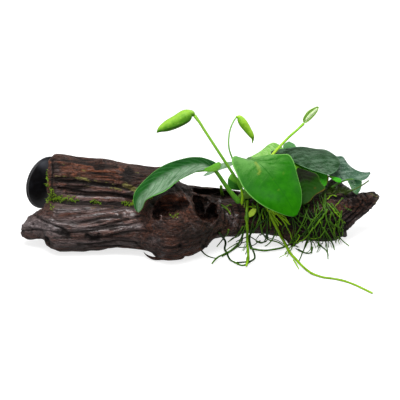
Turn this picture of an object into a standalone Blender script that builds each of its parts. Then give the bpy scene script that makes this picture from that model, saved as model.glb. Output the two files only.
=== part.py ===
"""Anubias growing on a branching piece of driftwood, with a suction cup in the wood's left end.

Metres, +Z up. The pieces are laid out in a measured view of the object: a column and a row of that view,
and a depth in millimetres behind the front lobe of the wood. place() turns the three into a point.
"""

import math

import bmesh
import bpy
import numpy as np
from mathutils import Matrix, Vector
from mathutils.bvhtree import BVHTree

# The measured view: a long way off, looking down a little. One pixel spans 0.8 mm at the object's middle.
PIXEL = 0.0008
VIEW_DISTANCE = 2.0
VIEW_DOWN = math.radians(22)
VIEW_MIDDLE = 200
VIEW_MIDDLE_HEIGHT = 0.0425
ROW_ORIGIN = np.array((0.0, -0.009, 0.0))

# How far pieces stay apart, and how stems are laid over the wood and over each other.
GAP = 0.0003
LIE_GAP = 0.0007
CLOSE_STEP = 0.001
STEM_WITHIN = 0.0004
HUMP_REACH = 0.009
HUMP_WAY = np.array((0.0, -0.6, 0.8))
LAY_ROUNDS = 4
GROUND_LIFT = 1.02
DEPTH_SPAN = 300

# The suction cup, the leaves and the wood's skin, in metres.
CUP_RADIUS = 0.022
CUP_RIM = 0.0012
CUP_LIP = 0.0016
CUP_DISH = 0.0035
CUP_DOME = 0.0065
CUP_STUD_RADIUS = 0.005
CUP_STUD_LENGTH = 0.011
CUP_STEPS = 20
CUP_AIM = math.radians(-44)
CUP_MIDDLE = (45.6, 182.2, 57.0)
LEAF_THICKNESS = 0.0007
MIDRIB_TAPER = (0.75, 0.45)
FLOWER_RINGS = 9
WOOD_VOXEL = 0.0026
WOOD_TRIANGLES = 2500
RING_POINTS = 36
RINGS_PER_STATION = 4
SQUARENESS = 0.88
RIDGE_SHARE = 0.035
RIDGE_DRIFT = 28.0
RIDGE_COUNTS = (5, 9)
SOCKET_DEPTH = 0.03

# Where a knot's depth isn't a number, it lies on the wood or on the surface that the object stands on.
WOOD = -1000.0
GROUND = -2000.0

# Limbs of the wood, as rings across the view: column, top row, bottom row, depth, depth over height.
LIMBS = {
    "upper mass": (
        (48.5, 158, 203, 26, 0.95), (51, 155.5, 204, 26, 1.0), (57, 153.5, 204, 26, 1.0),
        (85, 157, 205, 29, 1.05), (110, 159, 206, 27, 1.0), (127, 164.5, 207, 29, 1.1),
        (150, 166.5, 210, 31, 1.0), (163, 166, 212, 30, 1.0), (172, 171, 213, 32, 0.95),
        (181, 182, 214, 34, 0.85), (200, 186, 216, 35, 0.85), (222, 188, 217, 35, 0.85),
        (243, 192, 220, 33, 0.9), (262, 196, 226, 30, 0.9),
    ),
    "hidden back of the log": (
        (56, 194, 230, 32, 0.9), (70, 185, 238, 35, 0.95), (92, 190, 240, 32, 1.05),
        (118, 183, 240.5, 37, 1.0), (150, 191, 239.5, 34, 1.15), (182, 187, 240, 32, 1.0),
        (215, 197, 238, 29, 1.1), (240, 201, 236, 27, 1.1),
    ),
    "lower lobe": (
        (43.5, 206, 243, 3, 0.9), (47, 203.5, 247, 2, 1.0), (52, 202, 250, 1, 1.0), (60, 201, 252, 0, 1.0),
        (95, 203, 251, 0, 1.05), (116, 205, 248, -1, 1.05), (135, 205, 249, -2, 1.05),
        (150, 203, 253, -4, 1.05), (160, 203, 254, -6, 1.0),
    ),
    "left stub": (
        (20.4, 229.5, 235, 10, 0.9), (22.5, 224.5, 236.8, 10, 0.95), (26, 219.5, 239, 9, 0.95),
        (32, 215, 239.4, 8, 0.95), (39, 210, 239.5, 7, 1.0), (48, 206, 241, 5, 1.0), (60, 204, 246, 3, 1.0),
    ),
    "bulge": (
        (140, 206, 249, -3, 1.0), (152, 194, 255, -7, 1.0), (162, 186, 259, -9, 1.0),
        (175, 181, 258.5, -10, 1.0),
        (188, 188.5, 254.5, -9, 1.0), (200, 194, 249.5, -6, 1.0), (207, 198, 246, -3, 1.0),
        (215, 202, 238, 0, 1.0), (226, 206, 235, 4, 1.0),
    ),
    "neck and right limb": (
        (203, 193, 242, 14, 1.1), (215, 194, 237, 15, 1.2), (226, 195, 236.5, 17, 1.25),
        (240, 195, 234, 18, 1.25), (258, 195, 232.5, 19, 1.3), (270, 196, 234.5, 19, 1.25),
        (285, 196, 237.5, 19, 1.2), (300, 195, 240, 19, 1.15), (320, 192, 240.5, 19, 1.1),
        (333, 191, 240.5, 20, 1.05), (342, 194, 238, 22, 1.0), (347, 197, 231, 25, 1.0),
        (353, 196, 224, 28, 0.95), (360, 192, 219, 31, 0.9), (368, 190.5, 213, 35, 0.9),
        (374, 191, 206.5, 38, 0.9), (378, 192.5, 201, 40, 0.85),
    ),
    "foot under the right limb": (
        (284, 226, 240, 7, 0.9), (290, 226, 246.5, 6, 0.9), (296, 226, 246.5, 6, 0.9),
        (303, 226, 240, 8, 0.9),
    ),
    "right limb's hidden foot": (
        (318, 205, 238, 33, 1.0), (332, 205, 239, 34, 1.0), (345, 212, 236, 34, 0.9),
    ),
    "knob on the right limb": (
        (322, 189.5, 204, 31, 0.9), (328, 181.5, 208, 32, 0.9), (334.5, 179, 212, 32, 0.9),
        (342, 184, 214, 32, 0.9), (349, 187.5, 214, 32, 0.8), (356, 193, 212, 32, 0.8),
    ),
    "splinter under the bulge": (
        (143, 248, 253.5, -14, 1.2), (151, 251, 259, -19, 1.2), (160, 256, 261.3, -24, 1.2),
    ),
}

# Hollows in the bulge and the neck: column, row, depth, then the radii across, away and up in millimetres.
HOLLOWS = (
    (167, 209, -34, 10.5, 7.0, 9.5),
    (200.5, 208, -20, 5.0, 12.0, 6.0),
    (211, 216, -8, 4.5, 12.0, 5.0),
)

# The wood is parted at its two main forks, each a plane through a point, with a normal, in metres.
LEFT_FORK = ((-0.1165, 0.0, 0.016), (-0.918, 0.0, -0.396))
RIGHT_FORK = ((0.036, 0.0, 0.0), (1.0, 0.0, 0.0))

RHIZOME = (
    (241, 197, 7, 2.6), (247, 194.5, 9, 3.6), (258, 193, 11, 4.0), (272, 192.5, 12, 4.0),
    (286, 192.5, 13, 3.8), (300, 191.5, 14, 3.4), (312, 190, 16, 2.4),
)

# Each leaf: the midrib from base to tip, then its far and near edges between those ends, then its stalk
# from the rhizome to the base, and the stalk's radius in millimetres.
LEAVES = {
    "leaf_left": {
        "midrib": ((214, 169, -6), (202, 165, -9), (185, 168, -14), (165, 176.5, -18), (150, 187.5, -21),
                   (141, 200, -22), (137.5, 213.5, -23)),
        "far": ((216, 163, -2), (205, 158, 0), (196, 157, 1), (185, 158.5, 0), (165, 165, -4),
                (148, 177, -8), (135, 192, -14), (134, 205, -19)),
        "near": ((205, 170, -12), (195, 172.5, -17), (178, 181, -26), (165, 191, -31), (147, 199, -31),
                 (142, 208, -27)),
        "stalk": ((238, 201, 1), (229, 190, -2), (222, 180, -4), (216.5, 172, -6)),
        "radius": 1.5,
    },
    "leaf_front": {
        "midrib": ((249, 160, 17), (258, 163, 12), (270, 175, 1), (285, 196, -14), (296, 217, -22)),
        "far": ((258, 156.8, 22), (268, 155, 25), (280, 154.5, 26), (289, 155, 24), (294, 163, 17),
                (298, 178, 6), (301.5, 192, -4), (301, 205, -14)),
        "near": ((241, 158, 14), (234, 156.5, 10), (232, 162, 6), (236, 172, -2), (245, 190, -12),
                 (262, 205, -19), (283, 214.5, -22)),
        "stalk": ((253, 193, 13), (252, 181, 19), (250, 168, 21)),
        "radius": 1.3,
    },
    "leaf_back": {
        "midrib": ((285, 152, 49), (272, 152, 49), (260, 155, 44), (247, 158.6, 39)),
        "far": ((281, 146, 54), (274, 142.6, 58), (268, 145, 56), (260, 152, 49), (252, 157, 42)),
        "near": ((279, 159, 43), (268, 163, 39), (256, 161.5, 38)),
        "stalk": ((281, 192, 19), (282, 180, 33), (284, 165, 45)),
        "radius": 1.1,
    },
    "leaf_back_small": {
        "midrib": ((289, 157, 58), (289, 149, 62), (289, 141.3, 66)),
        "far": ((283.5, 151, 61), (284, 144.5, 65)),
        "near": ((296, 150, 60), (294.5, 144.5, 64)),
        "stalk": ((289, 191, 20), (290, 182, 34), (290, 168, 50)),
        "radius": 1.0,
    },
    "leaf_right": {
        "midrib": ((271, 155, 37), (285, 155, 36), (300, 156, 33), (315, 159, 30), (330, 162, 27),
                   (340, 163, 27)),
        "far": ((272, 151, 40), (285, 148.5, 45), (300, 147.3, 52), (315, 149.3, 55), (325, 150, 53),
                (332, 153.5, 46), (338, 158.5, 36)),
        "near": ((280, 159, 31), (293, 162, 26), (300, 165, 20), (310, 169, 15), (320, 172.3, 13),
                 (328, 174.5, 14), (334, 172.5, 18), (338, 168.5, 22)),
        "stalk": ((268, 192, 18), (267, 180, 29), (268, 165, 37)),
        "radius": 1.3,
    },
    "leaf_far_right": {
        "midrib": ((322, 166, 38), (335, 167.5, 35), (346, 171.5, 31), (358, 175, 29), (371, 172.5, 30)),
        "far": ((330, 158, 44), (338, 156.5, 46), (343, 157, 45), (347, 163, 41), (351, 167, 38),
                (358, 171, 34), (366, 173, 31)),
        "near": ((326, 173, 29), (332, 176.5, 26), (342, 180, 23), (352, 180.3, 22), (361, 180.5, 23),
                 (367, 178, 26)),
        "stalk": ((306, 190, 19), (309, 182, 33), (314, 172, 41)),
        "radius": 1.1,
    },
    "leaf_low": {
        "midrib": ((301, 171, 13), (305, 181, 9), (307, 193, 4), (303, 205, -3)),
        "far": ((310, 174.5, 12), (318, 180.5, 9), (325, 189, 5), (315, 195, 2), (310, 201, -1)),
        "near": ((296, 178, 11), (294, 190, 5), (297, 200, 0)),
        "stalk": ((298, 190, 18), (300, 182, 20), (301, 175, 18)),
        "radius": 1.0,
    },
    "leaf_low_small": {
        "midrib": ((292, 162, 28), (304, 167.5, 24), (316, 174, 19), (323, 187.5, 14)),
        "far": ((301, 163.5, 27), (313, 168.5, 24), (325, 174, 20), (328, 178, 18), (327, 184, 16)),
        "near": ((297, 167, 23), (306, 171.5, 20), (315.5, 177, 17), (318.5, 184, 15)),
        "stalk": ((294, 190.5, 20), (293, 182, 25), (291, 170, 30)),
        "radius": 0.9,
    },
    "leaf_low_tip": {
        "midrib": ((328, 175.5, 23), (335, 178.5, 19), (341, 182.5, 17)),
        "far": ((334, 176.5, 22), (341, 179, 19)),
        "near": ((330, 177.5, 20), (336, 181.5, 17)),
        "stalk": ((310, 190, 25), (316, 184, 27), (323, 178, 26)),
        "radius": 0.7,
    },
    "leaf_curled": {
        "midrib": ((354, 179.3, 17), (355.5, 184, 16), (357, 194.5, 11)),
        "far": ((361, 180.5, 18), (361.5, 184.5, 16), (360, 190, 13)),
        "near": ((348, 180.5, 17), (350, 185, 15), (353, 191, 12)),
        "stalk": ((332, 187, 20), (340, 182.5, 22), (348, 179.5, 21)),
        "radius": 0.7,
    },
    "leaf_inner": {
        "midrib": ((243, 190, 14), (236, 183, 13), (228, 178.5, 13)),
        "far": ((240.5, 182, 16), (235.5, 176.5, 17), (231, 174.5, 16)),
        "near": ((237, 190, 12), (231, 188.8, 11), (228, 184.5, 12)),
        "stalk": ((250, 193, 15), (246, 191.5, 14.5)),
        "radius": 0.8,
    },
    "leaf_edge_on": {
        "midrib": ((235, 163, 30), (225, 165.5, 29), (214, 171, 27), (203, 176, 26)),
        "far": ((229, 162, 33), (219, 164.5, 32), (209, 171, 29)),
        "near": ((229, 167, 27), (219, 170.5, 25), (209, 175, 24)),
        "stalk": ((256, 191.5, 20), (250, 183, 26), (243, 171, 30)),
        "radius": 0.8,
    },
}
SMALL_LEAVES = ("leaf_back_small", "leaf_low_tip", "leaf_curled", "leaf_inner", "leaf_edge_on")
LEAF_FINISHES = {
    "leaf_front": "leaf_green", "leaf_back": "leaf_light", "leaf_low_small": "leaf_light",
    "leaf_low_tip": "leaf_light",
}

# Flower stalks and the closed flower heads: column, row, depth, radius in millimetres.
STALKS = {
    "peduncle_left": (
        (243, 192, 10, 1.1), (240, 187, 8, 1.1), (235, 177, 6, 1.1), (220, 154, 2, 1.05), (205, 131, 0, 1.0),
        (200, 123, -1, 1.0), (194.9, 116.1, -1, 1.0),
    ),
    "peduncle_middle": (
        (248, 190.5, 19, 0.6), (240, 177, 19, 0.6), (233, 160, 14, 0.55), (229.2, 149, 11, 0.5),
        (228.7, 139, 10, 0.5), (230.3, 129, 9, 0.5), (233.6, 121.3, 8, 0.5), (236.1, 117.6, 8, 0.45),
    ),
    "peduncle_right": (
        (262, 190.5, 17, 1.0), (264, 178, 24, 1.0), (269, 160, 31, 0.95), (274, 153, 33, 0.95),
        (288, 138, 34, 0.9), (297, 130, 34, 0.9), (303.3, 124.0, 35.5, 0.9),
    ),
}
FLOWERS = {
    "spathe_left": (
        (194.2, 115.3, -1, 1.2), (191.5, 114, -1, 3.2), (186, 116, -2, 5.3), (177.5, 121, -3, 5.2),
        (168, 125.6, -4, 4.5), (161, 129, -5, 2.7), (157, 132.3, -5, 0.4),
    ),
    "spathe_middle": (
        (236.8, 116.6, 8, 0.8), (239.5, 118, 8, 2.4), (243, 123, 7, 3.4), (247.5, 129.5, 6, 2.9),
        (251.5, 135.5, 5, 2.1), (252.8, 139, 5, 1.0), (252.2, 143.3, 5, 0.3),
    ),
    "spadix": (
        (306.5, 119.5, 33.5, 0.5), (309, 116.5, 32.6, 1.0), (313.5, 112, 32.6, 0.9), (317, 109, 33, 0.4),
    ),
}
OPEN_SPATHE = {
    "midrib": ((304, 123.3, 36), (307, 118, 38), (312, 113, 38), (319, 107, 35)),
    "far": ((303, 119, 34), (307, 112.2, 34), (312, 108.7, 34), (317, 106.6, 34)),
    "near": ((307.5, 122, 33), (312.5, 117.5, 33), (317, 112, 33)),
}

# The little leaf at the joint of the front root.
LEAFLET = {
    "midrib": ((248.8, 216.6, -1.0), (252, 212.9, -0.6), (255.8, 209.2, 1.4)),
    "far": ((250.3, 211.8, 0.0), (253, 209, 1.4)),
    "near": ((252.6, 215.2, -1.6), (255, 212.2, -0.4)),
}

# Roots, and the thin shoots and twig: column, row, depth. Radii at the start and the end, in millimetres.
ROOTS = (
    ((247.5, 203, WOOD), (246, 215, WOOD), (247, 228, WOOD), (247.5, 240, 2), (248, 250, GROUND),
     (248, 258, GROUND), (246.5, 265.5, GROUND)),
    ((263, 202, WOOD), (270, 215, WOOD), (277, 228, WOOD), (283, 240, 4), (290, 253, GROUND),
     (296, 260, GROUND), (308, 271, GROUND), (322, 277.3, GROUND), (337, 279, GROUND), (355, 285, GROUND),
     (372, 293, GROUND)),
    ((293.5, 260, GROUND), (296, 264.5, GROUND), (299, 269, GROUND)),
    ((243, 230, WOOD), (241, 239, 5), (235, 247.5, GROUND), (225, 254, GROUND), (217, 258, GROUND),
     (212, 263.5, GROUND)),
    ((203, 254, GROUND), (208, 256, GROUND), (212, 258.5, GROUND)),
    ((219, 231, WOOD), (225, 241, 4), (224.5, 247.5, GROUND), (226, 252, GROUND), (230, 259.5, GROUND),
     (237, 263.5, GROUND)),
    ((266, 219.5, WOOD), (260, 222.5, WOOD), (254, 228, WOOD), (250.5, 234, 3), (249.5, 240, 2.5),
     (250.7, 246, 2), (253, 251, GROUND), (254.7, 256, GROUND), (254, 259, GROUND), (250, 261.8, GROUND),
     (243.5, 265.6, GROUND)),
    ((227, 230, WOOD), (224, 238, 6), (217, 246.5, GROUND)),
    ((242, 226, WOOD), (235, 234.5, WOOD), (228, 242, 5)),
    ((267, 230, WOOD), (266, 239, 5), (262, 243, 3), (256, 241.5, 4)),
    ((251, 248.6, GROUND), (259, 250, GROUND), (266, 250.3, GROUND), (275, 249, GROUND),
     (284, 246.8, GROUND), (290, 244, GROUND)),
    ((309, 232, WOOD), (306, 243, 5), (303, 252, GROUND), (298.5, 262, GROUND)),
    ((298, 249.5, GROUND), (306, 253, GROUND), (311, 252, GROUND), (313, 247, GROUND)),
    ((273, 211, WOOD), (283, 221, WOOD), (289, 230, WOOD), (292.5, 236.5, 2)),
    ((275, 234, 4), (271, 242, 3), (265, 247, 5)),
    ((317, 203, WOOD), (321, 222, WOOD), (325, 238, 4), (327, 250, GROUND), (328, 259, GROUND)),
    ((326, 195, WOOD), (324, 208, WOOD), (327, 221, WOOD), (333, 234, WOOD), (336, 243, GROUND)),
    ((331, 205, WOOD), (338, 215, WOOD), (337, 227, WOOD), (340, 238, 8), (349, 246, GROUND)),
    ((304, 206, WOOD), (311, 220, WOOD), (316, 232, WOOD), (319, 242, 0), (317, 247, GROUND)),
    ((303, 233, WOOD), (308, 227, WOOD), (315, 218, WOOD), (322, 211, WOOD)),
    ((309, 205, WOOD), (304, 220, WOOD), (296, 233, WOOD), (290, 243, -2)),
    ((323, 228, WOOD), (330, 238, -2), (333, 244.5, GROUND), (334.5, 249.5, GROUND)),
    ((263, 209, WOOD), (258, 221, WOOD), (253, 231, WOOD)),
)
ROOT_RADII = {0: (1.0, 0.7), 1: (1.1, 0.5), 3: (0.9, 0.5), 5: (0.8, 0.5), 6: (0.8, 0.5)}
THIN_ROOT = (0.65, 0.35)
ROUND_ROOT = 0.0008
SHOOTS = {
    "sprout": ((222.5, 198, WOOD), (222, 193, 22), (221, 186.5, 21)),
    "shoot": ((242, 203, 0), (242.5, 196, -1), (241, 190, 0)),
    "twig": ((345.5, 192, WOOD), (350.5, 190.8, 8), (358, 187.5, 6), (364, 184, 6), (368.5, 180.8, 7)),
}
SHOOT_RADII = {"sprout": (1.3, 1.1), "shoot": (1.2, 0.7), "twig": (0.5, 0.5)}

# Moss pads on the log and mats of hair roots on the right limb: column, row, reach and height in
# millimetres. PAD_LIFT, in metres, keeps them off the wood.
PAD_LIFT = 0.0004
MATS = {
    "hair_roots_left": (276, 222, 17, 2.5),
    "hair_roots_right": (320, 221, 24, 3.0),
}
MOSS = {
    "moss_log_end": (60, 199, 10, 2.0),
    "moss_log_edge": (48.5, 175, 6, 2.0),
    "moss_middle": (97, 201, 8, 1.8),
    "moss_right": (128, 203, 8, 1.8),
    "moss_bulge": (153, 197.5, 6, 1.8),
}

COLOURS = {
    "driftwood": ((0.055, 0.032, 0.024), 0.55),
    "rubber": ((0.012, 0.012, 0.014), 0.35),
    "leaf_dark": ((0.02, 0.10, 0.04), 0.3),
    "leaf_green": ((0.05, 0.30, 0.02), 0.3),
    "leaf_light": ((0.25, 0.50, 0.10), 0.35),
    "flower": ((0.30, 0.55, 0.06), 0.4),
    "stalk": ((0.18, 0.42, 0.04), 0.4),
    "spadix": ((0.75, 0.78, 0.55), 0.5),
    "root": ((0.12, 0.30, 0.03), 0.5),
    "moss": ((0.10, 0.20, 0.03), 0.8),
    "twig": ((0.20, 0.17, 0.07), 0.7),
}


def clear_scene():
    for thing in list(bpy.data.objects):
        bpy.data.objects.remove(thing, do_unlink=True)


def material(name):
    """The named plain finish, made once."""
    found = bpy.data.materials.get(name)
    if found:
        return found
    made = bpy.data.materials.new(name)
    made.use_nodes = True
    shader = made.node_tree.nodes["Principled BSDF"]
    colour, roughness = COLOURS[name]
    shader.inputs["Base Color"].default_value = (*colour, 1.0)
    shader.inputs["Roughness"].default_value = roughness
    shader.inputs["Metallic"].default_value = 0.0
    return made


def add_object(name, data, finish):
    """A new object in the scene with this mesh or curve and finish."""
    made = bpy.data.objects.new(name, data)
    bpy.context.scene.collection.objects.link(made)
    data.materials.clear()
    data.materials.append(material(finish))
    return made


def settled(thing):
    """Replaces the object's data with its evaluated mesh, so that its modifiers are applied."""
    graph = bpy.context.evaluated_depsgraph_get()
    mesh = bpy.data.meshes.new_from_object(thing.evaluated_get(graph))
    mesh.name = thing.name
    thing.modifiers.clear()
    thing.data = mesh
    return thing


def place(column, row, depth):
    """The point seen at this column and row, at this depth in millimetres."""
    rise = (VIEW_MIDDLE - row) * PIXEL
    away = depth / 1000
    cosine = math.cos(VIEW_DOWN)
    sine = math.sin(VIEW_DOWN)
    up = (rise * (1 + away * cosine / VIEW_DISTANCE) - away * sine) / (cosine + rise * sine / VIEW_DISTANCE)
    nearer = up * sine - away * cosine
    across = (column - VIEW_MIDDLE) * PIXEL * (1 - nearer / VIEW_DISTANCE)
    return np.array((across, away, VIEW_MIDDLE_HEIGHT + up)) - ROW_ORIGIN


def through(knots, count):
    """Evenly spaced points on a smooth curve through the knots. Further columns follow along."""
    pieces_per_span = 12
    knots = np.array(knots, float)
    padded = np.vstack((2 * knots[0] - knots[1], knots, 2 * knots[-1] - knots[-2]))
    part = np.linspace(0, 1, pieces_per_span, endpoint=False)[:, None]
    fine = []
    for before, start, end, after in zip(padded, padded[1:], padded[2:], padded[3:]):
        bend = 2 * before - 5 * start + 4 * end - after
        curl = 3 * start - before - 3 * end + after
        fine.append(start + 0.5 * ((end - before) * part + bend * part**2 + curl * part**3))
    fine = np.vstack(fine + [knots[-1:]])
    steps = np.linalg.norm(np.diff(fine[:, :3], axis=0), axis=1)
    along = np.concatenate(((0,), np.cumsum(steps)))
    wanted = np.linspace(0, along[-1], count)
    return np.column_stack([np.interp(wanted, along, values) for values in fine.T])


def add_rings(bm, rings):
    """Closes a row of equal rings of points into a tube with flat ends."""
    loops = [[bm.verts.new(point) for point in ring] for ring in rings]
    for first, second in zip(loops, loops[1:]):
        for i, vert in enumerate(first):
            bm.faces.new((first[i - 1], vert, second[i], second[i - 1]))
    bm.faces.new(reversed(loops[0]))
    bm.faces.new(loops[-1])


def limb_rings(stations):
    """Rings of a limb: squarish ellipses that fill each station's rows, with ridges along the limb."""
    rings = []
    turn = np.linspace(0, 2 * math.pi, RING_POINTS, endpoint=False)
    broad, fine = RIDGE_COUNTS
    start = sum(stations[0])
    for column, top, bottom, depth, ratio in through(stations, RINGS_PER_STATION * len(stations)):
        drift = start + column / RIDGE_DRIFT
        ridges = 1 + RIDGE_SHARE * (np.cos(broad * turn + drift) + np.cos(fine * turn - 1.7 * drift))
        across = np.sign(np.cos(turn)) * np.abs(np.cos(turn)) ** SQUARENESS * ridges
        upward = np.sign(np.sin(turn)) * np.abs(np.sin(turn)) ** SQUARENESS * ridges
        middle = place(column, (top + bottom) / 2, depth)
        half = (bottom - top) / 2 * PIXEL
        height = half / math.hypot(math.sin(VIEW_DOWN) * ratio, math.cos(VIEW_DOWN))
        width = height * ratio
        rings.append([middle + (0, width * a, height * u) for a, u in zip(across, upward)])
    return rings


def cut(thing, cutter, operation="DIFFERENCE"):
    """Cuts the object with the cutter, which is removed."""
    boolean = thing.modifiers.new("cut", "BOOLEAN")
    boolean.operation = operation
    boolean.solver = "EXACT"
    boolean.object = cutter
    settled(thing)
    bpy.data.objects.remove(cutter, do_unlink=True)
    return thing


def box_beyond(name, point, normal, offset):
    """A large box on the far side of a plane, which is moved out along its normal by the offset."""
    size = 0.6
    bm = bmesh.new()
    bmesh.ops.create_cube(bm, size=size)
    turn = Vector(normal).to_track_quat("Z", "Y").to_matrix().to_4x4()
    shift = Matrix.Translation(Vector(point) + Vector(normal).normalized() * (size / 2 + offset))
    bm.transform(shift @ turn)
    mesh = bpy.data.meshes.new(name)
    bm.to_mesh(mesh)
    bm.free()
    return add_object(name, mesh, "driftwood")


def hollow_cutter(column, row, depth, across, away, up):
    """An egg shape at this place, with these three radii in millimetres."""
    bm = bmesh.new()
    bmesh.ops.create_icosphere(bm, subdivisions=3, radius=0.001)
    bm.transform(Matrix.Translation(place(column, row, depth)) @ Matrix.Diagonal((across, away, up, 1)))
    mesh = bpy.data.meshes.new("hollow")
    bm.to_mesh(mesh)
    bm.free()
    return add_object("hollow", mesh, "driftwood")


def cup_matrix():
    """Places the cup: its own +X runs from the disc's rim plane along the stud into the wood."""
    return Matrix.Translation(place(*CUP_MIDDLE)) @ Matrix.Rotation(CUP_AIM, 4, "Z")


def socket_cutter():
    """The hole that the stud is pushed into."""
    radius = CUP_STUD_RADIUS + GAP
    bm = bmesh.new()
    bmesh.ops.create_cone(bm, cap_ends=True, segments=CUP_STEPS, radius1=radius, radius2=radius,
                          depth=SOCKET_DEPTH)
    start = CUP_DOME + CUP_STUD_LENGTH + GAP - SOCKET_DEPTH / 2
    bm.transform(cup_matrix() @ Matrix.Translation((start, 0, 0)) @ Matrix.Rotation(math.pi / 2, 4, "Y"))
    mesh = bpy.data.meshes.new("socket")
    bm.to_mesh(mesh)
    bm.free()
    return add_object("socket", mesh, "driftwood")


def make_wood():
    """The driftwood in three nodes, and a search tree of the whole of it."""
    bm = bmesh.new()
    for stations in LIMBS.values():
        add_rings(bm, limb_rings(stations))
    bmesh.ops.recalc_face_normals(bm, faces=bm.faces)
    mesh = bpy.data.meshes.new("driftwood_log")
    bm.to_mesh(mesh)
    bm.free()
    wood = add_object("driftwood_log", mesh, "driftwood")
    remesh = wood.modifiers.new("one skin", "REMESH")
    remesh.mode = "VOXEL"
    remesh.voxel_size = WOOD_VOXEL
    settled(wood)
    for hollow in HOLLOWS:
        cut(wood, hollow_cutter(*hollow))
    triangles = sum(len(face.vertices) - 2 for face in wood.data.polygons)
    decimate = wood.modifiers.new("fewer faces", "DECIMATE")
    decimate.ratio = WOOD_TRIANGLES / triangles
    settled(wood)
    cut(wood, socket_cutter())
    cut(wood, box_beyond("below ground", (0, 0, 0), (0, 0, -1), 0))
    tree = tree_of([wood.data])
    forks = {"driftwood_lower_limb": LEFT_FORK, "driftwood_right_limb": RIGHT_FORK}
    for name, (point, normal) in forks.items():
        part = add_object(name, wood.data.copy(), "driftwood")
        cut(part, box_beyond("fork", point, normal, GAP / 2), "INTERSECT")
        cut(wood, box_beyond("fork", point, normal, -GAP / 2))
    return tree


def nearest_outside(tree, point, lift):
    """The point, moved out of the wood where it is closer to it than the lift."""
    found, normal, _, _ = tree.find_nearest(Vector(point))
    height = (Vector(point) - found).dot(normal)
    if height >= lift:
        return point
    return np.array(found + normal * lift)


def lie(tree, column, row, depth, lift):
    """The point seen at this column and row: at its depth, on the wood, or on the ground."""
    near = place(column, row, -DEPTH_SPAN)
    far = place(column, row, DEPTH_SPAN)
    if depth == GROUND:
        return near + (far - near) * (lift - near[2]) / (far[2] - near[2])
    if depth != WOOD:
        return place(column, row, depth)
    start = Vector(near)
    hit, normal, _, _ = tree.ray_cast(start, (Vector(far) - start).normalized())
    return np.array(hit + normal * lift)


def add_stem(name, points, finish, sides=1):
    """A stem with round ends cut flat, along points that hold a radius in a fourth column."""
    curve = bpy.data.curves.new(name, "CURVE")
    curve.dimensions = "3D"
    curve.bevel_depth = 1.0
    curve.bevel_resolution = sides
    curve.use_fill_caps = True
    spline = curve.splines.new("POLY")
    spline.points.add(len(points) - 1)
    for knot, (x, y, z, radius) in zip(spline.points, points):
        knot.co = (x, y, z, 1)
        knot.radius = radius
    return add_object(name, curve, finish)


def knots_to_points(knots):
    """Knots of column, row, depth and radius in millimetres, as points and a radius in metres."""
    return [(*place(column, row, depth), radius / 1000) for column, row, depth, radius in knots]


def close_path(knots):
    """A smooth path through the knots, with points close together."""
    points = np.array(knots)[:, :3]
    length = np.linalg.norm(np.diff(points, axis=0), axis=1).sum()
    return through(knots, max(4, round(length / CLOSE_STEP)))


def thinned(path, within):
    """The path with only the points that keep it within this distance of its old course."""
    chord = path[-1, :3] - path[0, :3]
    share = ((path[:, :3] - path[0, :3]) @ chord / (chord @ chord)).clip(0, 1)
    off = np.linalg.norm(path[:, :3] - path[0, :3] - share[:, None] * chord, axis=1)
    middle = int(off.argmax())
    if off[middle] < within:
        return path[[0, -1]]
    return np.vstack((thinned(path[: middle + 1], within)[:-1], thinned(path[middle:], within)))


def clear_of(point, stem):
    """Whether the point's own round leaves a gap to the stem's skin."""
    reach = np.linalg.norm(stem[:, :3] - point[:3], axis=1) - stem[:, 3] - point[3]
    return reach.min() > GAP


def keep_clear(path, tree, stems):
    """Moves a close-set path off the wood and the ground, and over each earlier stem in a low hump."""
    path = path.copy()
    steps = np.linalg.norm(np.diff(path[:, :3], axis=0), axis=1)
    along = np.concatenate(((0,), np.cumsum(steps)))
    hump = np.cos(np.clip(np.abs(along[:, None] - along) / HUMP_REACH, 0, 1) * math.pi) / 2 + 0.5
    for _ in range(LAY_ROUNDS):
        for stem in stems:
            distance = np.linalg.norm(path[:, None, :3] - stem[:, :3], axis=2)
            short = (stem[:, 3] + path[:, 3:] + LIE_GAP - distance).max(axis=1).clip(0)
            path[:, :3] += (hump * short).max(axis=1)[:, None] * HUMP_WAY
        for point in path:
            point[:3] = nearest_outside(tree, point[:3], point[3] + LIE_GAP)
            point[2] = max(point[2], point[3] * GROUND_LIFT)
    return path


def add_blade(name, midrib, far, near, finish, steps, columns):
    """A leaf's blade: a sheet through its far edge, its midrib and its near edge, pointed at both ends."""
    rails = []
    for edge in ((midrib[0], *far, midrib[-1]), midrib, (midrib[0], *near, midrib[-1])):
        rails.append(through([place(*knot) for knot in edge], steps + 1))
    far_rail, rib_rail, near_rail = rails
    bm = bmesh.new()
    base = bm.verts.new(rib_rail[0])
    tip = bm.verts.new(rib_rail[-1])
    rows = []
    for i in range(1, steps):
        row = []
        for t in np.linspace(-1, 1, columns):
            outer = far_rail[i] * t * (t - 1) / 2 + near_rail[i] * t * (t + 1) / 2
            row.append(bm.verts.new(outer + rib_rail[i] * (1 - t * t)))
        rows.append(row)
    for first, second in zip(rows, rows[1:]):
        for i in range(columns - 1):
            bm.faces.new((first[i], second[i], second[i + 1], first[i + 1]))
    for i in range(columns - 1):
        bm.faces.new((base, rows[0][i], rows[0][i + 1]))
        bm.faces.new((rows[-1][i + 1], rows[-1][i], tip))
    bmesh.ops.recalc_face_normals(bm, faces=bm.faces)
    mesh = bpy.data.meshes.new(name)
    bm.to_mesh(mesh)
    bm.free()
    blade = add_object(name, mesh, finish)
    solid = blade.modifiers.new("thickness", "SOLIDIFY")
    solid.thickness = LEAF_THICKNESS
    solid.offset = 0
    return settled(blade), rib_rail


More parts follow.
